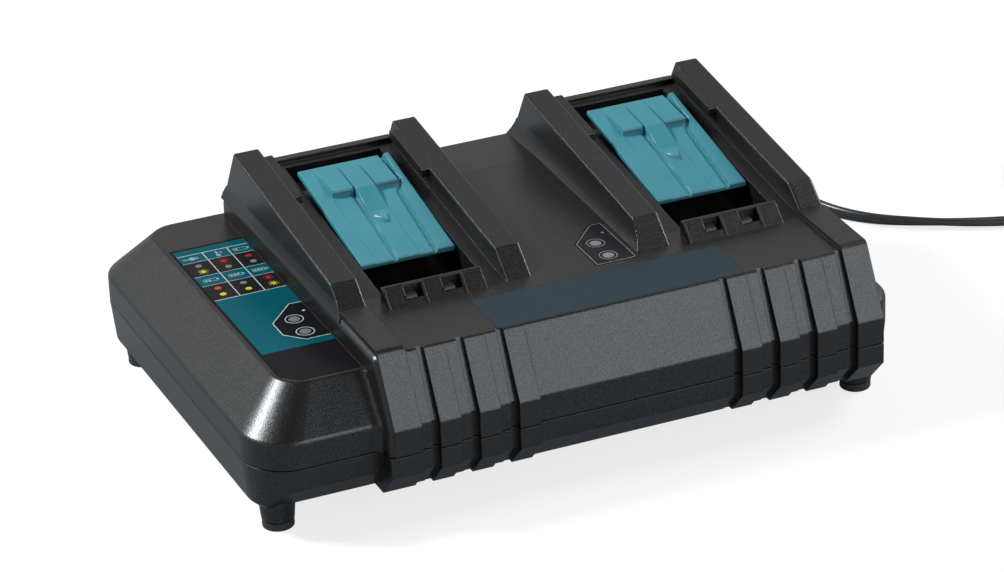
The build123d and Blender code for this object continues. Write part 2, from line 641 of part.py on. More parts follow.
def lower_housing():
    """Lower housing: tray with ribbed front, foot stems, screw bosses and vents."""
    top = PARTING_Z - PARTING_GAP
    waist = BASE_Z + BOTTOM_RADIUS
    tray = loft([lower_plan(BASE_Z, SIDE_DRAFT + BOTTOM_RADIUS), lower_plan(waist, SIDE_DRAFT),
                 lower_plan(top, 0.0)], ruled=True)
    wedge = [(BODY_Y - 5, TAPER_Z + 5), (BODY_Y, TAPER_Z), (BODY_Y + FRONT_TAPER, BASE_Z),
             (BODY_Y + FRONT_TAPER, BASE_Z - 5), (BODY_Y - 5, BASE_Z - 5)]
    tray -= yz_prism(wedge, BODY_LEFT - 5, BODY_RIGHT + 5)
    tray += yz_prism(front_profile(FACE_Y, BASE_Z, top), BLOCK_LEFT + BEAD, BLOCK_RIGHT)
    for left, right in rib_spans():
        start = BLOCK_LEFT if left == BLOCK_LEFT + BEAD else left
        tray += yz_prism(front_profile(RIB_Y, BASE_Z, top), start, right)
    for cutter in groove_cuts():
        tray -= cutter
    hollow = (loft([lower_plan(FLOOR_TOP, WALL + TONGUE + SIDE_DRAFT),
                    lower_plan(top + 1, WALL + TONGUE)], ruled=True)
              & yz_prism([(BODY_Y + WALL + TONGUE, top + 1),
                          (BODY_Y + WALL + TONGUE, TAPER_Z + 1.5),
                          (BODY_Y + FRONT_TAPER + WALL, FLOOR_TOP),
                          (REAR_Y, FLOOR_TOP), (REAR_Y, top + 1)],
                         BODY_LEFT, BODY_RIGHT))
    front = FACE_Y + FRONT_WALL + TONGUE
    hollow += yz_prism([(front, top + 1), (front, TAPER_Z + 1.5),
                        (front + FRONT_TAPER - 1, FLOOR_TOP), (REAR_Y - 40, FLOOR_TOP),
                        (REAR_Y - 40, top + 1)],
                       BLOCK_LEFT + WALL + 1.0 + TONGUE, BLOCK_RIGHT - WALL - TONGUE)
    tray -= hollow
    tray += extrude(inner_plan(FIT, top - 0.5) - inner_plan(TONGUE, top - 0.5),
                    amount=2.5, dir=(0, 0, 1))
    for x, y in FEET.values():
        tray += post(x, y, STEM_Z, FLOOR_TOP, STEM_RADIUS, STEM_ROOT_RADIUS)
        tray -= post(x, y, STEM_Z - 1, STEM_Z + PEG_LENGTH, PEG_RADIUS + FIT)
    for x, y in SCREWS:
        tray += post(x, y, FLOOR_TOP - 0.5, BOSS_Z, BOSS_RADIUS)
        tray -= post(x, y, BASE_Z - 1, BOSS_Z + 1, SCREW_RADIUS + FIT)
        tray -= post(x, y, BASE_Z - 1, BASE_Z + 4, 2 * SCREW_RADIUS + 2 * FIT)
    for x, y in board_supports():
        tray += post(x, y, FLOOR_TOP - 0.5, BOARD_Z, 3.0)
        tray -= post(x, y, FLOOR_TOP + 0.5, BOARD_Z + 1, 1.0 + FIT)
    for x, y in clamp_screws():
        tray += post(x, y, FLOOR_TOP - 0.5, CORD_EXIT_Z - 4.0, 3.0)
        tray -= post(x, y, FLOOR_TOP + 0.5, CORD_EXIT_Z, 1.0 + FIT)
    for side in (-1, 1):
        for i in range(9):
            slot_x = side * 60 + (i - 4) * 6.0
            tray -= span_box(slot_x - 1.25, slot_x + 1.25, -20, 20, BASE_Z - 1, FLOOR_TOP + 1)
    hole = Pos(CORD_X, REAR_Y - 2, CORD_EXIT_Z) * Rot(90, 0, 0) * Cylinder(
        RELIEF_RADIUS + FIT, 20)
    return tray - hole


def board_supports():
    """Places of the main board's four posts."""
    inset = 6.0
    return [(sx * (BOARD_WIDTH / 2 - inset), sy * (BOARD_DEPTH / 2 - inset))
            for sx in (-1, 1) for sy in (-1, 1)]


def clamp_screws():
    """Places of the cord clamp's two screws."""
    return [(CORD_X + side * 10, REAR_Y - 18) for side in (-1, 1)]


# ---- terminal covers and what they hide --------------------------------------------------------
def terminal_cover(left):
    """Sliding cover: a shallow box open at the rear and below, with pads and an arrow."""
    half = COVER_WIDTH / 2
    cover = slope_box(left, -half, half, 0, COVER_LENGTH, -COVER_DEPTH, 0)
    cover -= slope_box(left, -half + COVER_WALL, half - COVER_WALL, -1,
                       COVER_LENGTH - COVER_WALL, -COVER_DEPTH - 1, -COVER_SKIN)
    pad = [(0, 0), (PAD_LENGTH, PAD_HEIGHT), (PAD_LENGTH + 0.5, -1), (0, -1)]
    for low, high in ((-14.3, -4.1), (5.7, 17.6)):
        cover += slope_prism(left, pad, low, high)
    strip_end = 41.3
    strip = [(0, 0), (PAD_LENGTH, PAD_HEIGHT), (strip_end, 0.9), (strip_end, -1), (0, -1)]
    cover += slope_prism(left, strip, -4.1, 5.5)
    arrow = Wire.make_polygon([(-2.8, -strip_end, 0.9), (4.6, -strip_end, 0.9),
                               (1.0, -strip_end - 7.2, 0.9)])
    cover += cover_frame(left).location * extrude(Face(arrow), amount=1.9, dir=(0, 0, -1))
    cover -= slope_box(left, 16.4, 18.2, 3, 18.6, -COVER_SKIN - 1, PAD_HEIGHT + 1)
    groove_half, groove_floor = 0.8, -1.0
    runs = [[(-4.3, PAD_LENGTH + 0.5), (-5.4, COVER_LENGTH + 1)],
            [(18.9, 8.5), (19.3, 20.9), (15.0, 27.5), (14.4, 31.0), (12.6, COVER_LENGTH + 1)]]
    for run in runs:
        for (x0, s0), (x1, s1) in zip(run, run[1:]):
            line = Wire.make_polygon([(x0 - groove_half, -s0, groove_floor),
                                      (x0 + groove_half, -s0, groove_floor),
                                      (x1 + groove_half, -s1, groove_floor),
                                      (x1 - groove_half, -s1, groove_floor)])
            cover -= cover_frame(left).location * extrude(Face(line), amount=1.2,
                                                          dir=(0, 0, 1))
    for side in (-1, 1):
        low, high = sorted((side * (half - 0.5), side * (half + RUNNER_REACH)))
        cover += slope_box(left, low, high, 4, COVER_LENGTH - 4,
                           -RUNNER_TOP - RUNNER_HEIGHT, -RUNNER_TOP)
    hook_s = COVER_LENGTH - COVER_WALL
    cover += slope_box(left, -2, 2, hook_s - 3, hook_s + 0.5, -5.5, -COVER_SKIN + 0.2)
    return cover


BLOCK_SEAT = -PIT_DEPTH        # terminal parts stand on the pit's floor
BLOCK_BASE_TOP = -9.0
BLOCK_HALF = 17.0
BLADE_X = 9.0
BLADE_HALF = 0.5
SPRING_S = 33.0                # rear end of the return spring
SPRING_W = -7.6
SPRING_RADIUS = 2.4


def terminal_block(left):
    """Insulator that stands in the pit and carries the contacts."""
    block = slope_box(left, -BLOCK_HALF, BLOCK_HALF, 2, 30, BLOCK_SEAT, BLOCK_BASE_TOP)
    for side in (-1, 1):
        middle = side * BLADE_X
        block += slope_box(left, middle - 3.2, middle + 3.2, 3, 21, BLOCK_BASE_TOP - 1, -6.5)
        block -= slope_box(left, middle - BLADE_HALF - FIT, middle + BLADE_HALF + FIT,
                           5, 19, BLOCK_SEAT + 1.5, 0)
    block -= slope_box(left, -4.5 - FIT, 4.5 + FIT, 6, 18, BLOCK_BASE_TOP - 2, 0)
    block += slope_box(left, -2, 2, 30 - 1, SPRING_S, BLOCK_SEAT, SPRING_W - 2.6)
    block += slope_box(left, -2, 2, 30 - 1, SPRING_S - 0.2, BLOCK_SEAT, SPRING_W + 2)
    return block


def terminal_blades(left):
    """Two flat power contacts."""
    blades = []
    for side in (-1, 1):
        middle = side * BLADE_X
        blades.append(slope_box(left, middle - BLADE_HALF, middle + BLADE_HALF, 5 + FIT,
                                19 - FIT, BLOCK_SEAT + 1.5, -3.2))
    return blades


def signal_connector(left):
    """Small connector between the power contacts, with four contact slots."""
    body = slope_box(left, -4.5, 4.5, 6 + FIT, 18 - FIT, BLOCK_BASE_TOP - 2, -4.0)
    for i in range(4):
        x = -3.0 + 2.0 * i
        body -= slope_box(left, x - 0.35, x + 0.35, 7.5, 16.5, -7.5, 0)
    return body


def cover_spring(left):
    """Tension spring that pulls the cover shut, close-wound with two end loops."""
    end = COVER_LENGTH - COVER_WALL - 3.3
    start = SPRING_S + 0.3
    frame = cover_frame(left).location
    coil = Pos(0, -(start + end) / 2, SPRING_W) * Rot(90, 0, 0) * Cylinder(
        SPRING_RADIUS, end - start)
    bore = Pos(0, -(start + end) / 2, SPRING_W) * Rot(90, 0, 0) * Cylinder(
        SPRING_RADIUS - 0.7, end - start + 2)
    return frame * (coil - bore)


# ---- label, plates and lamps -------------------------------------------------------------------
def status_label():
    """Status label let into the label side's top, with holes for the lamps."""
    label = xy_prism(label_outline(), PANEL_Z - LABEL_THICKNESS, PANEL_Z)
    for x, y in LABEL_LAMPS:
        label -= post(x, y, PANEL_Z - 2, PANEL_Z + 2, LENS_RADIUS + FIT)
    return label


def name_plate():
    """Bare plate on the deck's front."""
    return deck_plate(name_plate_outline(), 0.0, PLATE_THICKNESS)


def deck_window():
    """Lamp window of the deck."""
    window = deck_plate(deck_window_outline(), 0.0, PLATE_THICKNESS)
    for x, y in DECK_LAMPS:
        window -= post(x, y, DECK_Z - 2, DECK_Z + 4, LENS_RADIUS + FIT)
    return window


def lens(x, y, top):
    """Lens with a collar that bears against the housing's underside."""
    seat = top - WALL - LENS_GAP
    return post(x, y, seat - 3.0, top, LENS_RADIUS) + post(x, y, seat - 2.0, seat, 3.8)


def status_lenses():
    """Lenses of the label's two lamps."""
    return [lens(x, y, PANEL_Z) for x, y in LABEL_LAMPS]


def deck_lenses():
    """Lenses of the deck window's two lamps."""
    return [lens(x, y, deck_z(y)) for x, y in DECK_LAMPS]


LED_HEIGHT = 4.0
LED_RADIUS = 2.2


def led_board_z(top):
    """Underside of a lamp board below a lens."""
    return top - WALL - LENS_GAP - 3.0 - 0.4 - LED_HEIGHT - BOARD_THICKNESS


def indicator_board(lamps, top):
    """Small board that carries two lamps."""
    x, y = lamps[0]
    z = led_board_z(top)
    y_middle = y + LAMP_PITCH / 2
    return span_box(x - 11, x + 9, y_middle - 16, y_middle + 16, z, z + BOARD_THICKNESS)


def indicator_leds():
    """The four lamps on their boards."""
    leds = []
    for lamps, height in ((LABEL_LAMPS, lambda y: PANEL_Z), (DECK_LAMPS, deck_z)):
        base = led_board_z(height(lamps[0][1])) + BOARD_THICKNESS
        for x, y in lamps:
            leds.append(post(x, y, base, base + LED_HEIGHT, LED_RADIUS))
    return leds


# ---- boards and electrical parts -------------------------------------------------------------------
def main_board():
    """Main circuit board."""
    board = span_box(-BOARD_WIDTH / 2, BOARD_WIDTH / 2, -BOARD_DEPTH / 2, BOARD_DEPTH / 2,
                     BOARD_Z, BOARD_TOP)
    for x, y in board_supports():
        board -= post(x, y, BOARD_Z - 1, BOARD_TOP + 1, 1.0 + FIT)
    return board


TRANSFORMER = (14.0, 20.0)     # middle of the transformer on the board
CORE_WIDTH, CORE_DEPTH, CORE_HEIGHT, CORE_LEG = 42.0, 15.0, 36.0, 7.0


def transformer_core():
    """Ferrite core: a rectangular frame with a round middle leg, standing upright."""
    x, y = TRANSFORMER
    low = BOARD_TOP + 2.0
    core = span_box(x - CORE_WIDTH / 2, x + CORE_WIDTH / 2, y - CORE_DEPTH / 2,
                    y + CORE_DEPTH / 2, low, low + CORE_HEIGHT)
    core -= span_box(x - CORE_WIDTH / 2 + CORE_LEG, x + CORE_WIDTH / 2 - CORE_LEG,
                     y - CORE_DEPTH, y + CORE_DEPTH, low + CORE_LEG,
                     low + CORE_HEIGHT - CORE_LEG)
    return core + post(x, y, low + CORE_LEG - 1, low + CORE_HEIGHT - CORE_LEG + 1, 5.0)


def transformer_winding():
    """Bobbin and winding around the core's middle leg, with the pin block below."""
    x, y = TRANSFORMER
    low = BOARD_TOP + 2.0 + CORE_LEG
    high = low + CORE_HEIGHT - 2 * CORE_LEG
    winding = post(x, y, low + FIT, high - FIT, 13.5)
    winding -= post(x, y, low - 1, high + 1, 5.0 + FIT)
    return winding


def transformer_base():
    """Pin block that holds the transformer on the board."""
    x, y = TRANSFORMER
    return span_box(x - CORE_WIDTH / 2, x + CORE_WIDTH / 2, y - CORE_DEPTH / 2 - 4,
                    y + CORE_DEPTH / 2 + 4, BOARD_TOP, BOARD_TOP + 2.0)


def standing_can(x, y, radius, height):
    """Electrolytic capacitor with a crimped lower edge and a pressed top."""
    can = post(x, y, BOARD_TOP, BOARD_TOP + height, radius)
    can = fillet(can.edges().filter_by(GeomType.CIRCLE).sort_by(Axis.Z)[-1], radius * 0.18)
    crimp = Pos(x, y, BOARD_TOP + 2.4) * Torus(radius + 0.25, 0.6)
    return can - crimp


def bulk_capacitor():
    """Large mains capacitor."""
    return standing_can(44.0, -10.0, 11.0, 32.0)


def output_capacitors():
    """Four output capacitors."""
    return [standing_can(-30.0 + 13.0 * i, -45.0, 5.0, 20.0) for i in range(4)]


def heatsink(x, y, length):
    """Aluminium heatsink: an upright plate with fins on its rear."""
    plate = span_box(x - length / 2, x + length / 2, y, y + 3, BOARD_TOP, BOARD_TOP + 26)
    for i in range(int(length // 8)):
        fin_x = x - length / 2 + 2 + 8 * i
        plate += span_box(fin_x, fin_x + 1.5, y + 2.5, y + 12, BOARD_TOP + 2, BOARD_TOP + 26)
    return plate


HEATSINKS = {"primary": (44.0, 38.0, 44.0), "secondary": (-62.0, -25.0, 44.0)}


def power_transistors():
    """Two power devices on each heatsink's front."""
    parts = []
    for x, y, length in HEATSINKS.values():
        for side in (-1, 1):
            middle = x + side * length / 4
            body = span_box(middle - 5, middle + 5, y - 4.5, y, BOARD_TOP + 4, BOARD_TOP + 19)
            for pin in (-2.54, 0, 2.54):
                body += span_box(middle + pin - 0.4, middle + pin + 0.4, y - 2.6, y - 2.0,
                                 BOARD_TOP, BOARD_TOP + 4.5)
            parts.append(body)
    return parts


def line_filter_choke():
    """Two-winding filter choke: a ring core standing on a base plate."""
    x, y, low = 80.0, 16.0, BOARD_TOP
    base = span_box(x - 12, x + 12, y - 8, y + 8, low, low + 2)
    ring = Pos(x, y, low + 13.5) * Rot(90, 0, 0) * (Cylinder(12, 10) - Cylinder(5, 12))
    return base + ring


def x_capacitor():
    """Box-shaped filter capacitor."""
    x, y = 76.0, 60.0
    box = span_box(x - 7, x + 7, y - 5, y + 5, BOARD_TOP, BOARD_TOP + 18)
    return fillet(box.edges().filter_by(Axis.Z), 1.0)


def fuse():
    """Tube fuse lying between two clips."""
    x, y, z = 84.0, -4.0, BOARD_TOP + 4.5
    tube = Pos(x, y, z) * Rot(0, 90, 0) * Cylinder(2.6, 20)
    for side in (-1, 1):
        tube += span_box(x + side * 8 - 2, x + side * 8 + 2, y - 3.2, y + 3.2, BOARD_TOP, z)
    return tube


def wire_run(points, radius, bends):
    """Round wire along straight runs joined by arcs."""
    path = FilletPolyline(*points, radius=bends)
    start = Plane(origin=points[0], z_dir=Vector(*points[1]) - Vector(*points[0]))
    return sweep(start * Circle(radius), path=path)


LEAD_RADIUS = 1.3


def dock_leads(left):
    """Three leads from the main board up through the pit's floor to the contacts."""
    leads = []
    for x in (-5.0, 0.0, 5.0):
        top = slope_point(left, x, 12, BLOCK_SEAT)
        end_z = top.Z - LEAD_RADIUS * tan(TILT) - 0.05
        points = [(top.X, top.Y - 14, BOARD_TOP), (top.X, top.Y - 14, BOARD_TOP + 14),
                  (top.X, top.Y, BOARD_TOP + 26), (top.X, top.Y, end_z)]
        leads.append(wire_run(points, LEAD_RADIUS, [6.0, 6.0]))
    return leads


def mains_leads():
    """Two inner leads from the cord's clamp to the main board."""
    leads = []
    for side in (-1, 1):
        x = CORD_X + side * 1.6
        y = REAR_Y - RELIEF_SEAT
        end_x = BOARD_WIDTH / 2 - 4
        end_y = y - 42 + side * 1.6
        points = [(x, y, CORD_EXIT_Z), (x, y - 20, CORD_EXIT_Z),
                  (x - 2, end_y, CORD_EXIT_Z + 4), (end_x, end_y, BOARD_TOP + 8),
                  (end_x, end_y, BOARD_TOP)]
        leads.append(wire_run(points, LEAD_RADIUS, [10.0, 4.0, 3.0]))
    return leads


# ---- fasteners, feet and cord hardware ------------------------------------------------------------
def pan_screw(x, y, head_z, length, radius):
    """Pan-head screw driven upwards, with a cross recess."""
    screw = post(x, y, head_z, head_z + length, radius)
    head = post(x, y, head_z - 2.0, head_z, 2 * radius)
    head = fillet(head.edges().filter_by(GeomType.CIRCLE).sort_by(Axis.Z)[0], 0.7)
    slot = radius * 0.9
    screw += head
    for wide, deep in ((slot, 0.35), (0.35, slot)):
        screw -= span_box(x - wide, x + wide, y - deep, y + deep, head_z - 3, head_z - 1)
    return screw


def housing_screws():
    """Four screws that hold the housings together, in deep holes underneath."""
    return [pan_screw(x, y, BASE_Z + 4, SCREW_LENGTH, SCREW_RADIUS) for x, y in SCREWS]


def board_screws():
    """Four screws that hold the main board on its posts."""
    screws = []
    for x, y in board_supports():
        head = post(x, y, BOARD_TOP, BOARD_TOP + 1.6, 2.4)
        screws.append(head + post(x, y, BOARD_Z - 5, BOARD_TOP, 1.0))
    return screws


def clamp_fasteners():
    """Two screws of the cord clamp."""
    screws = []
    for x, y in clamp_screws():
        top = CORD_EXIT_Z + 1.0
        screws.append(post(x, y, top, top + 1.6, 2.4) + post(x, y, FLOOR_TOP + 1, top, 1.0))
    return screws


def cord_clamp():
    """Bar that grips the cord behind the strain relief."""
    y = REAR_Y - 18
    bar = span_box(CORD_X - 14, CORD_X + 14, y - 4, y + 4, CORD_EXIT_Z - 4, CORD_EXIT_Z + 1)
    bar -= span_box(CORD_X - 4, CORD_X + 4, y - 5, y + 5, CORD_EXIT_Z - 5, CORD_EXIT_Z - 2)
    for side in (-1, 1):
        bar -= Pos(CORD_X + side * 1.6, y, CORD_EXIT_Z) * Rot(90, 0, 0) * Cylinder(
            LEAD_RADIUS + FIT, 10)
    for x, hole_y in clamp_screws():
        bar -= post(x, hole_y, BASE_Z, CORD_EXIT_Z + 5, 1.0 + FIT)
    return bar


def strain_relief():
    """Tapered sleeve with rings where the cord leaves the rear."""
    end = RELIEF_LENGTH
    outline = [(0, -RELIEF_SEAT), (RELIEF_RADIUS, -RELIEF_SEAT), (RELIEF_RADIUS, 0.2),
               (RELIEF_RADIUS + 1.2, 0.2),
               (RELIEF_RADIUS + 1.2, 2.2)]
    rings = 5
    for i in range(rings):
        share = (i + 0.5) / rings
        radius = RELIEF_RADIUS - share * (RELIEF_RADIUS - CORD_RADIUS - 1.0)
        y = 3.0 + share * (end - 6)
        outline += [(radius, y - 1.6), (radius, y + 0.8), (radius - 0.9, y + 1.0),
                    (radius - 0.9, y + 2.2)]
    outline += [(CORD_RADIUS + 0.9, end), (0, end)]
    profile = Wire.make_polygon([(CORD_X + r, REAR_Y + y, CORD_EXIT_Z) for r, y in outline])
    axis = Axis((CORD_X, REAR_Y, CORD_EXIT_Z), (0, 1, 0))
    return revolve(Face(profile), axis=axis)


def rubber_foot(x, y):
    """Rubber foot with a neck and a peg pressed into its stem."""
    pad = post(x, y, 0, FOOT_PAD, FOOT_RADIUS)
    pad = fillet(pad.edges().filter_by(GeomType.CIRCLE).sort_by(Axis.Z)[0], 0.8)
    neck = post(x, y, FOOT_PAD - 0.1, STEM_Z, FOOT_RADIUS - 1.3)
    return pad + neck + post(x, y, STEM_Z - 0.1, STEM_Z + PEG_LENGTH - 0.5, PEG_RADIUS)


# ---- cord ---------------------------------------------------------------------------------------
CORD_START = (CORD_X, REAR_Y + RELIEF_LENGTH, CORD_EXIT_Z)
FLAT_Z = CORD_RADIUS + 0.2
COIL_MIDDLE = (340.0, 61.0)
COIL_LEAD = 27.0               # straight end of the coil that meets the cord
CORD_END = (COIL_MIDDLE[0] - COIL_LEAD, COIL_MIDDLE[1] - COIL_RADIUS, FLAT_Z)
CORD_POINTS = [
    CORD_START,
    (CORD_X, 158.0, CORD_EXIT_Z),
    (130.0, 181.0, 11.5),
    (143.0, 201.0, 3.5),
    (165.0, 205.0, FLAT_Z),
    (184.0, 190.0, FLAT_Z),
    (194.0, 164.0, FLAT_Z),
    (197.0, 135.0, FLAT_Z),
    (198.5, 107.0, FLAT_Z),
    (203.5, 81.5, FLAT_Z),
    (216.5, 62.0, FLAT_Z),
    (237.0, 51.0, FLAT_Z),
    (261.0, 40.0, FLAT_Z),
    (287.0, 32.0, FLAT_Z),
    CORD_END,
]
PLUG_TAIL = 34.0               # cord between the coil and the plug


def bend_radii(points):
    """Radius of each bend: 0.45 of the shorter run over the tangent of half the turn."""
    radii = []
    for before, corner, after in zip(points, points[1:], points[2:]):
        first = Vector(*corner) - Vector(*before)
        second = Vector(*after) - Vector(*corner)
        half_turn = radians(first.get_angle(second)) / 2
        radii.append(0.45 * min(first.length, second.length) / tan(half_turn))
    return radii


def power_cord():
    """The cord from the strain relief to the coil."""
    return wire_run(CORD_POINTS, CORD_RADIUS, bend_radii(CORD_POINTS))


def cord_coil():
    """Outer form of the coiled rest of the cord, with its two straight ends."""
    x, y = COIL_MIDDLE
    outer, inner = COIL_RADIUS + COIL_WIDTH / 2, COIL_RADIUS - COIL_WIDTH / 2
    ring = Cylinder(outer, COIL_HEIGHT) - Cylinder(inner, COIL_HEIGHT + 2)
    ring = fillet(ring.edges().filter_by(GeomType.CIRCLE), 1.8)
    coil = Pos(x, y, COIL_HEIGHT / 2 + 0.1) * ring
    lead_in = Pos((CORD_END[0] + x) / 2, CORD_END[1], FLAT_Z) * Rot(0, 90, 0) * Cylinder(
        CORD_RADIUS, x - CORD_END[0])
    tail = Pos(x + COIL_RADIUS, y + PLUG_TAIL / 2, PLUG_HEIGHT / 2) * Rot(90, 0, 0) * Cylinder(
        CORD_RADIUS, PLUG_TAIL)
    return coil + lead_in + tail


def plug_start():
    """Where the cord enters the plug."""
    return (COIL_MIDDLE[0] + COIL_RADIUS, COIL_MIDDLE[1] + PLUG_TAIL, PLUG_HEIGHT / 2)


def mains_plug():
    """Flat two-pin plug lying beside the coil, waisted towards the cord."""
    x, y, z = plug_start()
    half = PLUG_WIDTH / 2
    outline = [(x - 5, y), (x + 5, y), (x + 11, y + 14), (x + half, y + PLUG_LENGTH - 8),
               (x + half, y + PLUG_LENGTH), (x - half, y + PLUG_LENGTH),
               (x - half, y + PLUG_LENGTH - 8), (x - 11, y + 14)]
    line = FilletPolyline(*[(px, py, 0.2) for px, py in outline],
                          radius=[2.5, 2.5, 12, 10, 3, 3, 10, 12], close=True)
    body = extrude(Face(Wire(line.edges())), amount=PLUG_HEIGHT - 0.2, dir=(0, 0, 1))
    flat = body.edges().filter_by(lambda e: abs(e.tangent_at(0.5).Z) < 0.1)
    body = fillet(flat, 1.6)
    for side in (-1, 1):
        body -= plug_pin(side, PIN_RADIUS + FIT / 2)
    return body


def plug_pin(side, radius):
    """One round pin, seated 12 mm deep."""
    x, y, z = plug_start()
    seat = 12.0
    length = PIN_LENGTH + seat
    middle = y + PLUG_LENGTH - seat + length / 2
    return Pos(x + side * PIN_PITCH / 2, middle, z) * Rot(90, 0, 0) * Cylinder(radius, length)


def plug_pins():
    """Both pins with rounded tips."""
    pins = []
    for side in (-1, 1):
        pin = plug_pin(side, PIN_RADIUS)
        tip = pin.edges().filter_by(GeomType.CIRCLE).sort_by(Axis.Y)[-1]
        pins.append(fillet(tip, PIN_RADIUS * 0.6))
    return pins


# ---- all nodes -------------------------------------------------------------------------------------
def build_nodes():
    """Each node's name with its solid, or its list of separate solids."""
    nodes = {
        "upper_housing": upper_housing(),
        "lower_housing": lower_housing(),
        "status_label": status_label(),
        "name_plate": name_plate(),
        "deck_window": deck_window(),
        "status_lenses": status_lenses(),
        "deck_lenses": deck_lenses(),
        "indicator_board_label": indicator_board(LABEL_LAMPS, PANEL_Z),
        "indicator_board_deck": indicator_board(DECK_LAMPS, deck_z(DECK_LAMPS[0][1])),
        "indicator_leds": indicator_leds(),
        "main_board": main_board(),
        "transformer_core": transformer_core(),
        "transformer_winding": transformer_winding(),
        "transformer_base": transformer_base(),
        "bulk_capacitor": bulk_capacitor(),
        "output_capacitors": output_capacitors(),
        "power_transistors": power_transistors(),
        "line_filter_choke": line_filter_choke(),
        "x_capacitor": x_capacitor(),
        "fuse": fuse(),
        "mains_leads": mains_leads(),
        "housing_screws": housing_screws(),
        "board_screws": board_screws(),
        "clamp_screws": clamp_fasteners(),
        "cord_clamp": cord_clamp(),
        "strain_relief": strain_relief(),
        "power_cord": power_cord(),
        "cord_coil": cord_coil(),
        "mains_plug": mains_plug(),
        "plug_pins": plug_pins(),
    }
    for name, (x, y, length) in HEATSINKS.items():
        nodes["heatsink_" + name] = heatsink(x, y, length)
    for name, (x, y) in FEET.items():
        nodes["foot_" + name] = rubber_foot(x, y)
    for side, left in DOCKS.items():
        nodes["terminal_cover_" + side] = terminal_cover(left)
        nodes["cover_spring_" + side] = cover_spring(left)
        nodes["terminal_block_" + side] = terminal_block(left)
        nodes["terminal_blades_" + side] = terminal_blades(left)
        nodes["signal_connector_" + side] = signal_connector(left)
        nodes["dock_leads_" + side] = dock_leads(left)
    return nodes


def write_nodes():
    """One STEP file for each node."""
    os.makedirs("parts", exist_ok=True)
    for name, shape in build_nodes().items():
        solids = []
        for piece in (shape if isinstance(shape, list) else [shape]):
            solids += piece.solids()
        whole = solids[0] if len(solids) == 1 else Compound(children=solids)
        export_step(whole, "parts/" + name + ".step")


print("cord bend radii:", [round(radius, 1) for radius in bend_radii(CORD_POINTS)])
write_nodes()
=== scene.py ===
"""Finishes, printed label, mains lead and springs round the CAD frame of a two-bay charger."""
import json

import bmesh
import bpy
import numpy as np
from mathutils import Euler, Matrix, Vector


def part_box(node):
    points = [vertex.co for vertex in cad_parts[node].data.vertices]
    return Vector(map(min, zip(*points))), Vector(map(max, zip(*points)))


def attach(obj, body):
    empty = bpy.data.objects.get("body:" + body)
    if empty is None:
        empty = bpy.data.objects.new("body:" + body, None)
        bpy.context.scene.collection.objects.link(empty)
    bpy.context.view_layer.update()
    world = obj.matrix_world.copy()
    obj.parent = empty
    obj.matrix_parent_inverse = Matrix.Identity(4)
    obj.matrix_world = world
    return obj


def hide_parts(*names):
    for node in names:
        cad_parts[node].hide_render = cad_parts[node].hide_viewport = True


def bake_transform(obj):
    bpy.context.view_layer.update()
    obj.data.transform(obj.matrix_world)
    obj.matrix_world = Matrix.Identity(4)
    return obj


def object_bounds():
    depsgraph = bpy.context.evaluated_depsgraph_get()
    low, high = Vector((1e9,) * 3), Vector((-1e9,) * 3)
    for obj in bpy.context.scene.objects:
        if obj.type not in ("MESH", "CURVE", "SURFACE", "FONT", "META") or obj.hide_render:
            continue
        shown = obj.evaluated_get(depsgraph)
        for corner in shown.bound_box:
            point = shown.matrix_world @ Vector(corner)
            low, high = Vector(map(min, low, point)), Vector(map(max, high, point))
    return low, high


bl_info = {
    "name": "Two-bay Battery Charger",
    "version": (1, 0, 0),
    "blender": (4, 5, 0),
    "location": "3D View > Sidebar > Charger",
    "description": "Dresses the CAD model of a two-bay battery charger",
    "category": "Object",
}

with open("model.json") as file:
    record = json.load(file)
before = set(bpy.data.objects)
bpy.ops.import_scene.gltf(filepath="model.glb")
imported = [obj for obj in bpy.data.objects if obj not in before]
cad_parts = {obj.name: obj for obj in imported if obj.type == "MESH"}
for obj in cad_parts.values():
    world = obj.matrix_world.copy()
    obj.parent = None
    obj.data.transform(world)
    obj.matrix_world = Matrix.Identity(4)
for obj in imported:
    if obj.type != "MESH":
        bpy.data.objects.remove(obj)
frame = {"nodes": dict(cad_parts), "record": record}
CAD_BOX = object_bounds()
NODES = frame["nodes"]
RECORD = frame["record"]
MM = 0.001
HOUSING_BODY = "charger"
SIDES = ("left", "right")

LABEL_LOW, LABEL_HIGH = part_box("status_label")
LABEL_TOP = LABEL_HIGH.z
WINDOW_LOW, WINDOW_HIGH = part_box("deck_window")
PRINT_SINK = 0.05 * MM         # printed ink starts this far below the face that it lies on
PRINT_LIFT = 0.03 * MM         # and stands this far above it,
RULE_LIFT = 0.06 * MM          # and its ruled lines a little more


# ---- settings a user would change ----
def length_property(label, text, value, low, high):
    """Length of a piece with its limits, given in millimetres."""
    return bpy.props.FloatProperty(name=label, description=text, default=value * MM,
                                   min=low * MM, max=high * MM, unit="LENGTH")


class ChargerSizes(bpy.types.PropertyGroup):
    """Sizes of the pieces that are made here."""
    lead_width: length_property("Lead width", "Wide side of the flat twin mains lead",
                                6.4, 1, 12)
    lead_height: length_property("Lead height", "Narrow side of the flat twin mains lead",
                                 3.6, 1, 12)
    coil_radius: length_property("Coil radius", "Radius of the coil's middle column of turns",
                                 29.0, 10, 100)
    spring_wire: length_property("Spring wire", "Diameter of the return springs' wire",
                                 0.6, 0.2, 2)
    lamp_ring: length_property("Lamp ring", "Diameter of the ring printed round a lamp",
                               8.1, 5, 20)
    rule_width: length_property("Rule width", "Width of the label's ruled lines", 0.42, 0.1, 2)
    edge_round: length_property("Edge rounding", "Rounding seen on the edges of the housing",
                                0.5, 0, 2)


def colour_property(label, text, value):
    """Colour picker for one finish, linear RGB."""
    return bpy.props.FloatVectorProperty(name=label, description=text, default=value,
                                         size=3, min=0, max=1, subtype="COLOR")


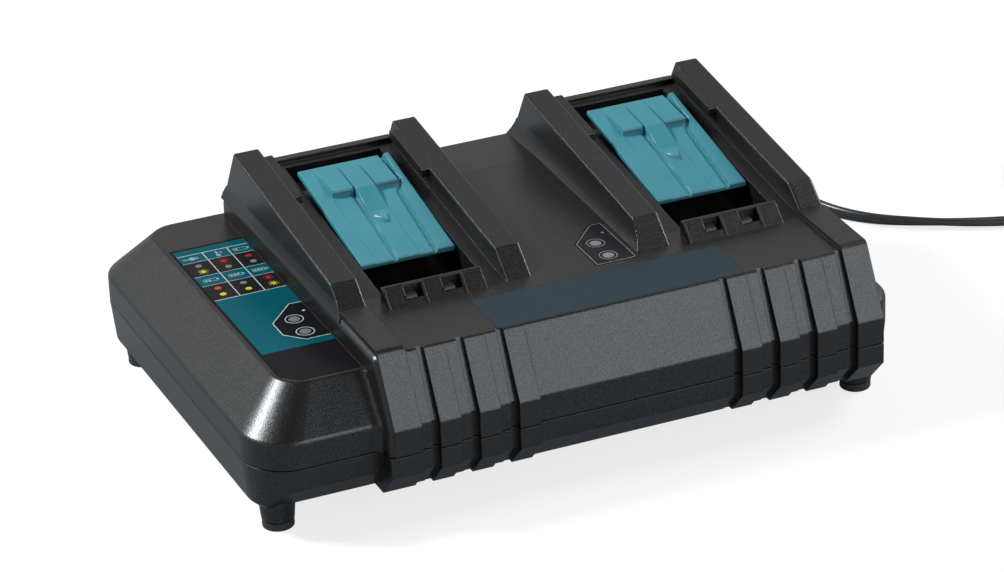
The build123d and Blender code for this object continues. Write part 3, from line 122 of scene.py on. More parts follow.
class ChargerColours(bpy.types.PropertyGroup):
    """Colours of the finishes."""
    housing: colour_property("Housing", "Dark moulded housing", (0.0055, 0.0053, 0.0055))
    cover: colour_property("Covers", "Moulded terminal covers", (0.028, 0.155, 0.190))
    label_field: colour_property("Label field", "Coloured field of the label",
                                 (0.0, 0.062, 0.082))
    label_dark: colour_property("Label dark", "Dark rows of the label", (0.010, 0.009, 0.010))
    rule: colour_property("Ruled lines", "Light lines of the label", (0.40, 0.43, 0.45))
    red: colour_property("Red lamps", "Red dots of the table", (0.34, 0.010, 0.010))
    amber: colour_property("Amber lamps", "Orange dot of the table", (0.44, 0.05, 0.01))
    yellow: colour_property("Yellow lamps", "Yellow dots of the table", (0.42, 0.40, 0.03))
    grey: colour_property("Unlit lamps", "Grey dots of the table", (0.15, 0.145, 0.15))
    plate: colour_property("Name plate", "Bare plate on the front", (0.019, 0.029, 0.036))


# ---- materials ----
GLOSS_SPREAD = 0.05            # how far the roughness of moulded plastic varies each way
BROAD_GRAIN = 18 * MM          # size of the faint patches in its colour
SPECKLE_BAND = 0.12            # narrow band of the noise, so that a speckle has sharp edges
FILM_SPECULAR = 0.04           # shine of printed film
PEEL_GRAIN, PEEL_DEPTH = 2.5 * MM, 0.004 * MM
MARK_DEPTH = 0.01 * MM         # depth of the marks in metal and of the frost on a lens
BEVEL_SAMPLES = 6
WAVE_PERIOD = 0.314            # length of one stripe of the wave texture at a scale of 1
SLOT_NAMES = {}                # name of the material made for each slot
INK_NAMES = {}                 # and for each ink


def new_material(name):
    """Empty node material with its tree and Principled shader."""
    material = bpy.data.materials.new(name)
    material.use_nodes = True
    tree = material.node_tree
    return material, tree, tree.nodes["Principled BSDF"]


def add_node(tree, kind, values):
    """Node of a kind, with values for some of its inputs."""
    node = tree.nodes.new(kind)
    for key, value in values.items():
        node.inputs[key].default_value = value
    return node


def link(tree, *pairs):
    """Links an output to an input for each pair."""
    for output, target in pairs:
        tree.links.new(output, target)


def object_noise(tree, size, detail=2.0, stretch=None):
    """Noise over the object's own coordinates, with a grain of the given size in metres."""
    place = tree.nodes.new("ShaderNodeTexCoord").outputs["Object"]
    noise = add_node(tree, "ShaderNodeTexNoise", {"Scale": 1.0 / size, "Detail": detail})
    if stretch:
        mapping = add_node(tree, "ShaderNodeMapping", {"Scale": stretch})
        link(tree, (place, mapping.inputs["Vector"]))
        place = mapping.outputs["Vector"]
    link(tree, (place, noise.inputs["Vector"]))
    return noise


def vary_colour(tree, shader, noise, colour, spread):
    """Base colour that runs between two shades of one colour along a noise."""
    ramp = tree.nodes.new("ShaderNodeValToRGB")
    shades = ((0.35, 1 - spread), (0.65, 1 + spread))
    for element, (position, share) in zip(ramp.color_ramp.elements, shades):
        element.position = position
        element.color = (*[min(1.0, c * share) for c in colour], 1.0)
    link(tree, (noise.outputs["Fac"], ramp.inputs["Fac"]),
         (ramp.outputs["Color"], shader.inputs["Base Color"]))


def vary_value(tree, shader, socket, noise, low, high, half=0.2):
    """Value of one of the shader's sockets that runs from low to high as the noise goes from
    0.5 - half to 0.5 + half."""
    span = add_node(tree, "ShaderNodeMapRange", {"From Min": 0.5 - half, "From Max": 0.5 + half,
                                                 "To Min": low, "To Max": high})
    link(tree, (noise.outputs["Fac"], span.inputs["Value"]),
         (span.outputs["Result"], shader.inputs[socket]))


def grain_bump(tree, shader, noise, depth, edge=0.0):
    """Bump of the given depth along a noise, over edges rounded by the given radius."""
    bump = add_node(tree, "ShaderNodeBump", {"Strength": 1.0, "Distance": depth})
    link(tree, (noise.outputs["Fac"], bump.inputs["Height"]),
         (bump.outputs["Normal"], shader.inputs["Normal"]))
    if edge > 0:
        bevel = add_node(tree, "ShaderNodeBevel", {"Radius": edge})
        bevel.samples = BEVEL_SAMPLES
        link(tree, (bevel.outputs["Normal"], bump.inputs["Normal"]))


def moulded(name, colour, rough, grain, depth, edge=0.0, specular=0.5, spread=0.06, speckle=0):
    """Moulded plastic: fine grain in the surface, slightly uneven gloss and, with a speckle,
    a shine that varies from grain to grain."""
    material, tree, shader = new_material(name)
    fine = object_noise(tree, grain, detail=3.0)
    broad = object_noise(tree, BROAD_GRAIN)
    vary_colour(tree, shader, broad, colour, spread)
    vary_value(tree, shader, "Roughness", fine, rough - GLOSS_SPREAD, rough + GLOSS_SPREAD)
    grain_bump(tree, shader, fine, depth, edge)
    shader.inputs["Specular IOR Level"].default_value = specular
    if speckle:
        vary_value(tree, shader, "Specular IOR Level", fine, specular - speckle,
                   specular + speckle, half=SPECKLE_BAND)
    return material


def film(name, colour, rough=0.22, spread=0.04):
    """Smooth printed film with a faint orange peel."""
    material, tree, shader = new_material(name)
    peel = object_noise(tree, PEEL_GRAIN, detail=1.0)
    vary_colour(tree, shader, peel, colour, spread)
    vary_value(tree, shader, "Roughness", peel, rough - 0.03, rough + 0.03)
    grain_bump(tree, shader, peel, PEEL_DEPTH)
    shader.inputs["Specular IOR Level"].default_value = FILM_SPECULAR
    return material


def metal(name, colour, rough, grain, stretch=None, edge=0.0):
    """Bare metal with fine marks along one direction."""
    material, tree, shader = new_material(name)
    marks = object_noise(tree, grain, detail=4.0, stretch=stretch)
    vary_colour(tree, shader, marks, colour, 0.08)
    vary_value(tree, shader, "Roughness", marks, rough - 0.06, rough + 0.08)
    grain_bump(tree, shader, marks, MARK_DEPTH, edge)
    shader.inputs["Metallic"].default_value = 1.0
    return material


def lens_material(name, colour):
    """Frosted lens with light scattering below its surface."""
    material, tree, shader = new_material(name)
    frost = object_noise(tree, 0.5 * MM)
    vary_colour(tree, shader, frost, colour, 0.05)
    vary_value(tree, shader, "Roughness", frost, 0.3, 0.42)
    grain_bump(tree, shader, frost, MARK_DEPTH)
    shader.inputs["Subsurface Weight"].default_value = 0.3
    shader.inputs["Subsurface Radius"].default_value = [0.6 * MM] * 3
    shader.inputs["Subsurface Scale"].default_value = 1.0
    return material


def glass_tube(name):
    """Clear glass with faint draw lines."""
    material, tree, shader = new_material(name)
    lines = object_noise(tree, 2 * MM, detail=1.0, stretch=(0.1, 1.0, 1.0))
    vary_colour(tree, shader, lines, (0.9, 0.93, 0.92), 0.03)
    vary_value(tree, shader, "Roughness", lines, 0.03, 0.08)
    shader.inputs["Transmission Weight"].default_value = 0.9
    return material


def striped(name, colour, groove_shade_colour, pitch, rough):
    """Wound wire or ribbed sleeve: fine stripes across Z, with painted shade in the grooves between
    them.
    """
    material, tree, shader = new_material(name)
    place = tree.nodes.new("ShaderNodeTexCoord")
    wave = add_node(tree, "ShaderNodeTexWave", {"Scale": WAVE_PERIOD / pitch, "Distortion": 0.6,
                                                "Detail": 1.0})
    wave.bands_direction = "Z"
    ramp = tree.nodes.new("ShaderNodeValToRGB")
    # the darker stripes are painted shade in the grooves between the turns
    ramp.color_ramp.elements[0].color = (*groove_shade_colour, 1)
    ramp.color_ramp.elements[1].color = (*colour, 1)
    ramp.color_ramp.elements[1].position = 0.45
    bump = add_node(tree, "ShaderNodeBump", {"Distance": 0.1 * MM})
    link(tree, (place.outputs["Object"], wave.inputs["Vector"]),
         (wave.outputs["Fac"], ramp.inputs["Fac"]),
         (ramp.outputs["Color"], shader.inputs["Base Color"]),
         (wave.outputs["Fac"], bump.inputs["Height"]),
         (bump.outputs["Normal"], shader.inputs["Normal"]))
    shader.inputs["Roughness"].default_value = rough
    return material


def slot_materials(colours, sizes):
    """One material for each of the record's slots."""
    edge = sizes.edge_round
    return {
        "housing_black": moulded("grained_black_abs", colours.housing, 0.34, 0.6 * MM,
                                 0.065 * MM, edge, specular=0.46, speckle=0.13),
        "cover_teal": moulded("satin_teal_abs", colours.cover, 0.34, 0.35 * MM, 0.010 * MM,
                              0.2 * MM, specular=0.45, spread=0.04),
        "label_print": film("label_film_black", (0.006, 0.006, 0.007)),
        "plate_slate": film("bare_slate_plate", colours.plate, 0.32),
        "window_black": film("window_film_black", (0.012, 0.011, 0.012), 0.28),
        "lamp_lens": lens_material("frosted_lamp_lens", (0.13, 0.13, 0.135)),
        "circuit_board": moulded("green_solder_mask", (0.01, 0.11, 0.035), 0.3, 1.2 * MM,
                                 0.01 * MM),
        "ferrite": moulded("sintered_ferrite", (0.035, 0.035, 0.038), 0.6, 0.3 * MM,
                           0.03 * MM, 0.4 * MM),
        # the second colour is painted shade in the grooves between the turns
        "winding": striped("enamelled_winding", (0.42, 0.13, 0.04), (0.10, 0.03, 0.01),
                           0.5 * MM, 0.3),
        "insulator_black": moulded("black_insulator", (0.016, 0.016, 0.017), 0.5, 0.4 * MM,
                                   0.02 * MM, 0.3 * MM),
        "capacitor_can": moulded("sleeved_can", (0.015, 0.022, 0.06), 0.25, 3 * MM,
                                 0.01 * MM, 0.3 * MM),
        "connector_yellow": moulded("yellow_connector", (0.62, 0.38, 0.02), 0.45, 0.4 * MM,
                                    0.015 * MM, 0.2 * MM),
        "fuse_glass": glass_tube("fuse_glass_tube"),
        "wire_sheath": moulded("red_wire_sheath", (0.30, 0.012, 0.01), 0.4, 0.8 * MM,
                               0.01 * MM),
        "screw_steel": metal("zinc_plated_steel", (0.50, 0.50, 0.49), 0.35, 0.6 * MM,
                             edge=0.2 * MM),
        "cord_rubber": moulded("black_lead_sheath", (0.014, 0.015, 0.016), 0.36, 0.9 * MM,
                               0.012 * MM, spread=0.1),
        "plug_plastic": moulded("black_plug_body", (0.017, 0.017, 0.018), 0.40, 0.4 * MM,
                                0.02 * MM, 0.4 * MM),
        "contact_plated": metal("nickel_plated_brass", (0.62, 0.59, 0.52), 0.25, 0.8 * MM,
                                stretch=(1.0, 0.15, 1.0)),
        "heatsink_aluminium": metal("extruded_aluminium", (0.62, 0.63, 0.64), 0.38, 0.7 * MM,
                                    stretch=(1.0, 1.0, 0.08), edge=0.2 * MM),
        "spring_steel": metal("bright_spring_steel", (0.55, 0.55, 0.55), 0.25, 0.5 * MM),
        "foot_rubber": moulded("matt_black_rubber", (0.013, 0.013, 0.013), 0.66, 0.5 * MM,
                               0.03 * MM, 0.5 * MM),
    }


def print_materials(colours):
    """Inks of the label and the windows."""
    return {
        "teal": film("ink_teal", colours.label_field, 0.2),
        "dark": film("ink_dark", colours.label_dark, 0.2),
        "rule": film("ink_light_rule", colours.rule, 0.3),
        "red": film("ink_red", colours.red, 0.3, 0.10),
        "amber": film("ink_amber", colours.amber, 0.3, 0.10),
        "yellow": film("ink_yellow", colours.yellow, 0.3, 0.08),
        "grey": film("ink_grey", colours.grey, 0.3, 0.10),
        "pale": film("ink_pale_sign", (0.20, 0.29, 0.32), 0.3, 0.10),
    }


def material_of(slot):
    """The material made for one of the record's slots."""
    return bpy.data.materials[SLOT_NAMES[slot]]


def ink(name):
    """The material of one ink."""
    return bpy.data.materials[INK_NAMES[name]]


# ---- meshes ----
def mesh_piece(name, points, faces, material, smooth=False):
    """Object at the origin from point and face arrays."""
    mesh = bpy.data.meshes.new(name)
    mesh.from_pydata(np.asarray(points).tolist(), [], [list(map(int, f)) for f in faces])
    mesh.validate()
    mesh.polygons.foreach_set("use_smooth", np.full(len(mesh.polygons), smooth))
    mesh.update()
    piece = bpy.data.objects.new(name, mesh)
    bpy.context.scene.collection.objects.link(piece)
    piece.data.materials.append(material)
    return piece


def grid_faces(rows, columns, offset=0):
    """Quads of a grid that closes along its columns: point k of row j is j * columns + k."""
    j, k = np.meshgrid(np.arange(rows - 1), np.arange(columns), indexing="ij")
    nxt = (k + 1) % columns
    quads = np.stack([j * columns + k, j * columns + nxt, (j + 1) * columns + nxt,
                      (j + 1) * columns + k], -1).reshape(-1, 4)
    return (quads + offset).tolist()


def closed_prisms(name, ends, material):
    """Closed prisms, each given as the points of its two end outlines, which are capped and
    joined point by point."""
    points, faces, start = [], [], 0
    for pair in ends:
        count = len(pair[0])
        points += pair
        faces.append([start + i for i in range(count)])
        faces.append([start + count + i for i in range(count)])
        faces += grid_faces(2, count, start)
        start += 2 * count
    return outward(mesh_piece(name, np.vstack(points), faces, material))


def prism_pieces(name, outlines, low, high, material, tilt=np.zeros_like):
    """Closed prisms: each outline of (x, y) is carried from tilt(y) + low to tilt(y) + high,
    so that ink can follow a sloping deck."""
    ends = []
    for outline in outlines:
        flat = np.asarray(outline, float)
        ends.append([np.column_stack([flat, tilt(flat[:, 1]) + z]) for z in (low, high)])
    return closed_prisms(name, ends, material)


def circle(middle, radius, count=48):
    """Points on a circle: middle + radius * (cos t, sin t)."""
    t = np.linspace(0, 2 * np.pi, count, endpoint=False)
    return np.column_stack([middle[0] + radius * np.cos(t), middle[1] + radius * np.sin(t)])


def sun(middle, core, inner, outer, rays=10):
    """Outlines of a sun: a round core and thin bars from the inner to the outer radius."""
    outlines = [circle(middle, core, 24)]
    for t in np.linspace(0, 2 * np.pi, rays, endpoint=False):
        along = np.array([np.cos(t), np.sin(t)])
        outlines.append(line_outline(middle + inner * along, middle + outer * along, 0.2 * core))
    return outlines


def ring_piece(name, middles, inner, outer, low, high, material, tilt=np.zeros_like, count=48):
    """Flat closed rings: a rectangle (inner..outer by low..high) turned about each middle."""
    t = np.linspace(0, 2 * np.pi, count, endpoint=False)
    k = np.arange(count)
    nxt = (k + 1) % count
    last = np.stack([3 * count + k, 3 * count + nxt, nxt, k], -1)
    points, faces = [], []
    for number, (x, y) in enumerate(middles):
        for radius, z in ((inner, low), (outer, low), (outer, high), (inner, high)):
            ys = y + radius * np.sin(t)
            points.append(np.column_stack([x + radius * np.cos(t), ys, tilt(ys) + z]))
        start = number * 4 * count
        faces += grid_faces(4, count, start) + (last + start).tolist()
    return mesh_piece(name, np.vstack(points), faces, material)


def frames_along(line):
    """Tangent at each point of a line: the difference of its neighbours, made unit length."""
    tangent = np.gradient(line, axis=0)
    return tangent / np.linalg.norm(tangent, axis=1, keepdims=True)


def sweep_piece(name, line, section, up, material):
    """Tube: section (across, along up) is carried along the line and closed by end caps.
    up is one direction for each point; across is tangent x up."""
    tangent = frames_along(line)
    across = np.cross(tangent, up)
    across /= np.linalg.norm(across, axis=1, keepdims=True)
    rise = np.cross(across, tangent)
    rings = (line[:, None, :] + section[None, :, :1] * across[:, None, :]
             + section[None, :, 1:] * rise[:, None, :])
    rows, columns = rings.shape[:2]
    faces = grid_faces(rows, columns)
    faces.append(list(range(columns))[::-1])
    faces.append([(rows - 1) * columns + k for k in range(columns)])
    piece = mesh_piece(name, rings.reshape(-1, 3), faces, material, smooth=True)
    return outward(piece)


def outward(piece):
    """Turns every face of a closed mesh outwards."""
    work = bmesh.new()
    work.from_mesh(piece.data)
    bmesh.ops.recalc_face_normals(work, faces=work.faces)
    work.to_mesh(piece.data)
    work.free()
    return piece


# ---- stage ----
CAMERA_PLACE = (-640.7 * MM, -1524.0 * MM, 854.9 * MM)
CAMERA_TURN = (63.876, 1.906, -23.824)       # degrees about X, Y and Z
CAMERA_LENS = 151.78                         # millimetres, on a 36 mm wide sensor
BACKDROP_TOP = 0.45       # upward share of a direction where the pale backdrop starts to end
CEILING_FROM = 0.74       # and where the dark ceiling has taken over
BACKDROP_SHARE = 0.60     # brightness of the backdrop and of the ceiling in reflections
CEILING_SHARE = 0.06
SOFT_LIGHT = 0.18         # strength of the even light from all round
FLOOR_REACH = 6.0
FLOOR_COLOUR = (0.86, 0.86, 0.86)
FLOOR_GLOW = 0.78         # share of its own light in what is seen of the floor
FLOOR_REFLECTED = (0.13, 0.16, 0.195)    # that light as reflections see it
LAMP_AIM = (0.0, 0.0, 0.05)
LAMPS = (                 # name, place, width and height, watts and colour
    ("key_lamp", (1.9, 0.1, 1.5), (0.9, 0.9), 42.0, (1, 1, 1)),
    ("front_lamp", (0.8, -1.8, 0.90), (1.1, 1.25), 21.0, (0.84, 0.92, 1.0)),
    ("left_lamp", (-1.2, 0.66, 1.30), (0.34, 0.30), 54.0, (0.92, 0.97, 1.0)),
    ("rear_lamp", (0.40, 1.15, 1.55), (0.9, 0.4), 1.2, (1, 1, 1)))


def soft_lamp(name, place, size, power, colour):
    """Rectangular soft lamp at a place, turned towards the charger."""
    data = bpy.data.lights.new(name, "AREA")
    data.shape = "RECTANGLE"
    data.size, data.size_y = size
    data.energy = power
    data.color = colour
    lamp = bpy.data.objects.new(name, data)
    lamp.location = place
    lamp.rotation_euler = (Vector(LAMP_AIM) - Vector(place)).to_track_quat("-Z", "Y").to_euler()
    bpy.context.scene.collection.objects.link(lamp)


def math_node(tree, operation, first, second):
    """Output of a math node over a socket and a second socket or number."""
    node = tree.nodes.new("ShaderNodeMath")
    node.operation = operation
    link(tree, (first, node.inputs[0]))
    if isinstance(second, float):
        node.inputs[1].default_value = second
    else:
        link(tree, (second, node.inputs[1]))
    return node.outputs[0]


def seen_directly(tree):
    """Socket that is 1 for camera, glossy and transmission rays: the largest of the three."""
    rays = tree.nodes.new("ShaderNodeLightPath").outputs
    either = math_node(tree, "MAXIMUM", rays["Is Camera Ray"], rays["Is Glossy Ray"])
    return math_node(tree, "MAXIMUM", either, rays["Is Transmission Ray"])


def overhead_falloff(tree):
    """Brightness of the backdrop: 1 for the camera, and in reflections even up to a height
    and then falling to the dark ceiling."""
    place = tree.nodes.new("ShaderNodeTexCoord")
    split = tree.nodes.new("ShaderNodeSeparateXYZ")
    span = add_node(tree, "ShaderNodeMapRange", {
        "From Min": BACKDROP_TOP, "From Max": CEILING_FROM, "To Min": BACKDROP_SHARE,
        "To Max": CEILING_SHARE})
    link(tree, (place.outputs["Generated"], split.inputs[0]),
         (split.outputs["Z"], span.inputs["Value"]))
    rays = tree.nodes.new("ShaderNodeLightPath").outputs
    return math_node(tree, "MAXIMUM", span.outputs["Result"], rays["Is Camera Ray"])


def backdrop_world():
    """White for the camera, greyer and dark overhead in reflections, and a soft even light."""
    world = bpy.data.worlds.new("studio_world")
    bpy.context.scene.world = world
    world.use_nodes = True
    tree = world.node_tree
    tree.nodes.clear()
    output = tree.nodes.new("ShaderNodeOutputWorld")
    mix = tree.nodes.new("ShaderNodeMixShader")
    seen = add_node(tree, "ShaderNodeBackground", {"Color": (1, 1, 1, 1)})
    light = add_node(tree, "ShaderNodeBackground", {"Color": (0.95, 0.97, 1.0, 1),
                                                    "Strength": SOFT_LIGHT})
    link(tree, (overhead_falloff(tree), seen.inputs["Strength"]),
         (seen_directly(tree), mix.inputs[0]), (light.outputs[0], mix.inputs[1]),
         (seen.outputs[0], mix.inputs[2]), (mix.outputs[0], output.inputs[0]))


def floor_material():
    """Pale floor: nearly white to the camera, with the shadow kept, and greyer in reflections."""
    material, tree, shader = new_material("pale_floor")
    vary_colour(tree, shader, object_noise(tree, 60 * MM), FLOOR_COLOUR, 0.01)
    shader.inputs["Roughness"].default_value = 0.9
    shader.inputs["Specular IOR Level"].default_value = 0.1
    rays = tree.nodes.new("ShaderNodeLightPath").outputs
    tint = add_node(tree, "ShaderNodeMixRGB", {"Color1": (*FLOOR_REFLECTED, 1),
                                               "Color2": (1, 1, 1, 1)})
    glow = tree.nodes.new("ShaderNodeEmission")
    mix = tree.nodes.new("ShaderNodeMixShader")
    share = math_node(tree, "MULTIPLY", seen_directly(tree), FLOOR_GLOW)
    link(tree, (rays["Is Camera Ray"], tint.inputs["Fac"]), (tint.outputs[0], glow.inputs["Color"]),
         (share, mix.inputs[0]), (shader.outputs[0], mix.inputs[1]),
         (glow.outputs[0], mix.inputs[2]),
         (mix.outputs[0], tree.nodes["Material Output"].inputs["Surface"]))
    return material


class ChargerStage(bpy.types.Operator):
    """Camera, floor and studio lamps"""
    bl_idname = "charger.stage"
    bl_label = "Stage"

    def execute(self, context):
        scene = context.scene
        scene.view_settings.view_transform = "Standard"
        data = bpy.data.cameras.new("camera")
        data.lens = CAMERA_LENS
        data.sensor_width = 36.0
        data.clip_start, data.clip_end = 0.05, 30.0
        camera = bpy.data.objects.new("camera", data)
        camera.location = CAMERA_PLACE
        camera.rotation_euler = Euler([np.radians(a) for a in CAMERA_TURN], "XYZ")
        scene.collection.objects.link(camera)
        scene.camera = camera
        backdrop_world()
        corners = [(x * FLOOR_REACH, y * FLOOR_REACH, 0) for x, y in
                   ((-1, -1), (1, -1), (1, 1), (-1, 1))]
        floor = mesh_piece("floor", corners, [(0, 1, 2, 3)], floor_material())
        for lamp in LAMPS:
            soft_lamp(*lamp)
        return {"FINISHED"}


# ---- mains lead ----
COIL_MIDDLE = np.array([340.0, 61.0]) * MM
COIL_FLOOR = 0.2 * MM            # the lowest turns lie this far above the floor
COIL_TURNS = 7.25
TURN_POINTS = 24                 # control points for each turn of the coil
COIL_START = 2.0 * MM            # height where the lead runs into the coil
TAIL_START = 12 * MM             # where the tail leaves the coil, from the coil's middle
TAIL_STRAIGHT = 10 * MM          # straight end before the plug
PLUG_ENTRY = 1.0 * MM            # how far the lead goes into the plug
EDGE_UNTIL, FLAT_FROM = 0.20, 0.33    # metres along the lead where it turns to lie flat
WAIST = 0.12                     # softens the waist between the two cores
PLUG_LOW, PLUG_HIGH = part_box("mains_plug")
LEAD_ROUTE = np.array([
    (126.0, 135.0, 24.0),
    (126.0, 158.0, 24.0),
    (130.0, 181.0, 11.5),
    (143.0, 201.0, 3.9),
    (165.0, 205.0, 3.4),
    (184.0, 190.0, 3.4),
    (194.0, 164.0, 3.4),
    (197.0, 135.0, 3.4),
    (198.5, 107.0, 3.4),
    (203.5, 81.5, 3.4),
    (216.5, 62.0, 3.4),
    (237.0, 48.0, 3.3),
    (261.0, 35.5, 2.9),
    (287.0, 26.6, 2.4),
    (313.0, 26.6, 2.1),
]) * MM


def coil_turns(radius, width, height):
    """Control points of the coil. Turn n lies in column c and layer m of its slot:
    radius + c * width, and m * height up; it moves to the next slot in its last sixth."""
    slots = np.array([(1, 0), (0, 0), (-1, 0), (-1, 1), (0, 1), (1, 1), (1, 2), (0, 2), (0, 2)])
    turn = np.arange(1, int(COIL_TURNS * TURN_POINTS) + 1) / TURN_POINTS
    whole = np.floor(turn).astype(int)
    share = np.clip((turn - whole - 5 / 6) * 6, 0, 1)
    share = (share * share * (3 - 2 * share))[:, None]
    slot = slots[whole] * (1 - share) + slots[np.minimum(whole + 1, len(slots) - 1)] * share
    angle = 2 * np.pi * turn - np.pi / 2
    away = radius + slot[:, 0] * width
    up = COIL_FLOOR + height * (0.5 + slot[:, 1])
    return np.column_stack([COIL_MIDDLE[0] + away * np.cos(angle),
                            COIL_MIDDLE[1] + away * np.sin(angle), up])


def lead_points(sizes):
    """All control points of the lead: the free route, the coil's turns and the tail."""
    turns = coil_turns(sizes.coil_radius, sizes.lead_width, sizes.lead_height)
    outer = sizes.coil_radius + sizes.lead_width
    start = [[COIL_MIDDLE[0], COIL_MIDDLE[1] - outer, COIL_START]]
    tail_x = COIL_MIDDLE[0] + sizes.coil_radius
    plug_z = (PLUG_LOW.z + PLUG_HIGH.z) / 2
    entry = PLUG_LOW.y + PLUG_ENTRY
    tail = [[tail_x, COIL_MIDDLE[1] + TAIL_START, turns[-1, 2]],
            [tail_x, entry - TAIL_STRAIGHT, plug_z],
            [tail_x, entry, plug_z]]
    return np.vstack([LEAD_ROUTE, start, turns, tail])


def spline_line(points):
    """Points along a NURBS curve of order 3 that starts and ends at its end points."""
    curve = bpy.data.curves.new("lead_route", "CURVE")
    curve.dimensions = "3D"
    curve.resolution_u = 6
    spline = curve.splines.new("NURBS")
    spline.points.add(len(points) - 1)
    spline.points.foreach_set("co", np.column_stack([points, np.ones(len(points))]).ravel())
    spline.order_u = 3
    spline.use_endpoint_u = True
    holder = bpy.data.objects.new("lead_route", curve)
    mesh = bpy.data.meshes.new_from_object(holder)
    line = np.zeros(len(mesh.vertices) * 3)
    mesh.vertices.foreach_get("co", line)
    bpy.data.objects.remove(holder)
    bpy.data.meshes.remove(mesh)
    return line.reshape(-1, 3)


def twin_section(width, height, count=40):
    """Outline of a flat twin lead: two round cores side by side, joined by a waist.
    In polar form r = c * sqrt(cos(t)^2 + s^2) + sqrt(R^2 - c^2 * sin(t)^2), with core radius R,
    core distance c from the middle and a small s that softens the waist."""
    core = height / 2
    away = (width - height) / 2
    t = np.linspace(0, 2 * np.pi, count, endpoint=False)
    radius = (away * np.sqrt(np.cos(t) ** 2 + WAIST ** 2)
              + np.sqrt(core ** 2 - away ** 2 * np.sin(t) ** 2))
    return np.column_stack([radius * np.cos(t), radius * np.sin(t)])


def lead_up(line):
    """Direction of the lead's narrow side. On the floor beside the housing the lead stands on
    its edge, so its wide side is upright; towards the coil it turns to lie flat."""
    run = np.concatenate([[0], np.cumsum(np.linalg.norm(np.diff(line, axis=0), axis=1))])
    share = np.clip((run - EDGE_UNTIL) / (FLAT_FROM - EDGE_UNTIL), 0, 1)
    angle = (1 - share * share * (3 - 2 * share)) * np.pi / 2
    tangent = frames_along(line)
    side = np.cross(tangent, (0, 0, 1))
    side /= np.linalg.norm(side, axis=1, keepdims=True)
    rise = np.cross(side, tangent)
    return rise * np.cos(angle)[:, None] - side * np.sin(angle)[:, None]


class ChargerLead(bpy.types.Operator):
    """Flat twin mains lead with its coiled rest"""
    bl_idname = "charger.lead"
    bl_label = "Mains lead"

    def execute(self, context):
        sizes = context.scene.charger_sizes
        line = spline_line(lead_points(sizes))
        lead = sweep_piece("mains_lead", line, twin_section(sizes.lead_width, sizes.lead_height),
                           lead_up(line), material_of("cord_rubber"))
        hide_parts("power_cord", "cord_coil")
        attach(lead, HOUSING_BODY)
        return {"FINISHED"}


# ---- CAD nodes ----
class ChargerFinishes(bpy.types.Operator):
    """Materials of every CAD piece, taken from its slot in the record"""
    bl_idname = "charger.finishes"
    bl_label = "Finishes"

    def execute(self, context):
        colours, sizes = context.scene.charger_colours, context.scene.charger_sizes
        for slot, material in slot_materials(colours, sizes).items():
            SLOT_NAMES[slot] = material.name
        for ink, material in print_materials(colours).items():
            INK_NAMES[ink] = material.name
        for row in RECORD["subparts"]:
            node = NODES[row["node"]]
            node.data.materials.clear()
            node.data.materials.append(material_of(row["material_slot"]))
        return {"FINISHED"}


# ---- printed label and windows ----
def place(piece, slot):
    """Fixes a printed piece to the housing. Its slot is not used."""
    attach(piece, HOUSING_BODY)
    return piece


def band(left, right, front, rear):
    """Corners of a rectangle."""
    return [(left, front), (right, front), (right, rear), (left, rear)]


PRINT_LEFT = LABEL_LOW.x + 1.1 * MM
PRINT_RIGHT = LABEL_HIGH.x - 0.05 * MM
PRINT_REAR = LABEL_HIGH.y - 1.3 * MM
# Distances from the print's rear edge to the lower edge of each band of the table.
TABLE_RUNS = {"rear": 0.0, "top": 5.3, "signs_1": 13.2, "lamps_1": 27.7, "signs_2": 37.6,
              "lamps_2": 52.7, "field": 109.1}
# Corners of the lamp window, from the print's right edge and from its rear edge.
LAMP_WINDOW = ((0.0, 70.1), (5.6, 69.9), (18.3, 84.2), (18.4, 96.0), (11.0, 104.0), (0.0, 104.0))
COLUMN_LINES = (11.6, 22.9)     # from the print's left edge, as the columns of dots
DOT_COLUMNS = (5.6, 17.2, 28.6)
DOT_ROWS = (17.3, 23.5, 41.5, 47.9)
DOT_RADIUS = 1.45 * MM
SUN_RADIUS = 2.4 * MM
SUN_CORE, SUN_GAP = 0.9, 1.15   # core and start of the rays, as shares of a dot's radius
THIN_RULE = 0.6                 # width of a thin rule as a share of a full one
SIGN_SHIFT = 0.5 * MM           # the cells of the last column stand this far to the left
TABLE = [  # row, column, colour, whether it is drawn as a sun
    (0, 0, "grey", False), (1, 0, "yellow", True), (0, 1, "red", True), (1, 1, "grey", False),
    (0, 2, "red", False), (1, 2, "grey", False), (2, 0, "amber", False),
    (3, 0, "yellow", False), (2, 1, "grey", False), (3, 1, "yellow", False),
    (2, 2, "red", True), (3, 2, "yellow", True)]


def run_y(run):
    """Y at a distance from the print's rear edge, in millimetres."""
    return PRINT_REAR - run * MM


def lamp_window():
    """Corners of the dark window round the label's lamps."""
    return [(PRINT_RIGHT - x * MM, run_y(run)) for x, run in LAMP_WINDOW]


def field_outline():
    """Coloured field in front of the table, cut out round the lamp window."""
    front, rear = run_y(TABLE_RUNS["field"]), run_y(TABLE_RUNS["lamps_2"])
    return [(PRINT_LEFT, front), (PRINT_RIGHT, front), *lamp_window()[::-1],
            (PRINT_RIGHT, rear), (PRINT_LEFT, rear)]


def line_outline(start, end, width):
    """Thin rectangle along a straight line."""
    a, b = np.array(start, float), np.array(end, float)
    along = (b - a) / np.linalg.norm(b - a)
    side = np.array([-along[1], along[0]]) * width / 2
    return [tuple(a - side), tuple(b - side), tuple(b + side), tuple(a + side)]


def polyline_outline(points, width):
    """Thin rectangles along each run of a line of points."""
    return [line_outline(a, b, width) for a, b in zip(points, points[1:])]


def mark(x, y, left, right, front, rear):
    """Corners of a rectangle given in millimetres about a middle."""
    return band(x + left * MM, x + right * MM, y + front * MM, y + rear * MM)


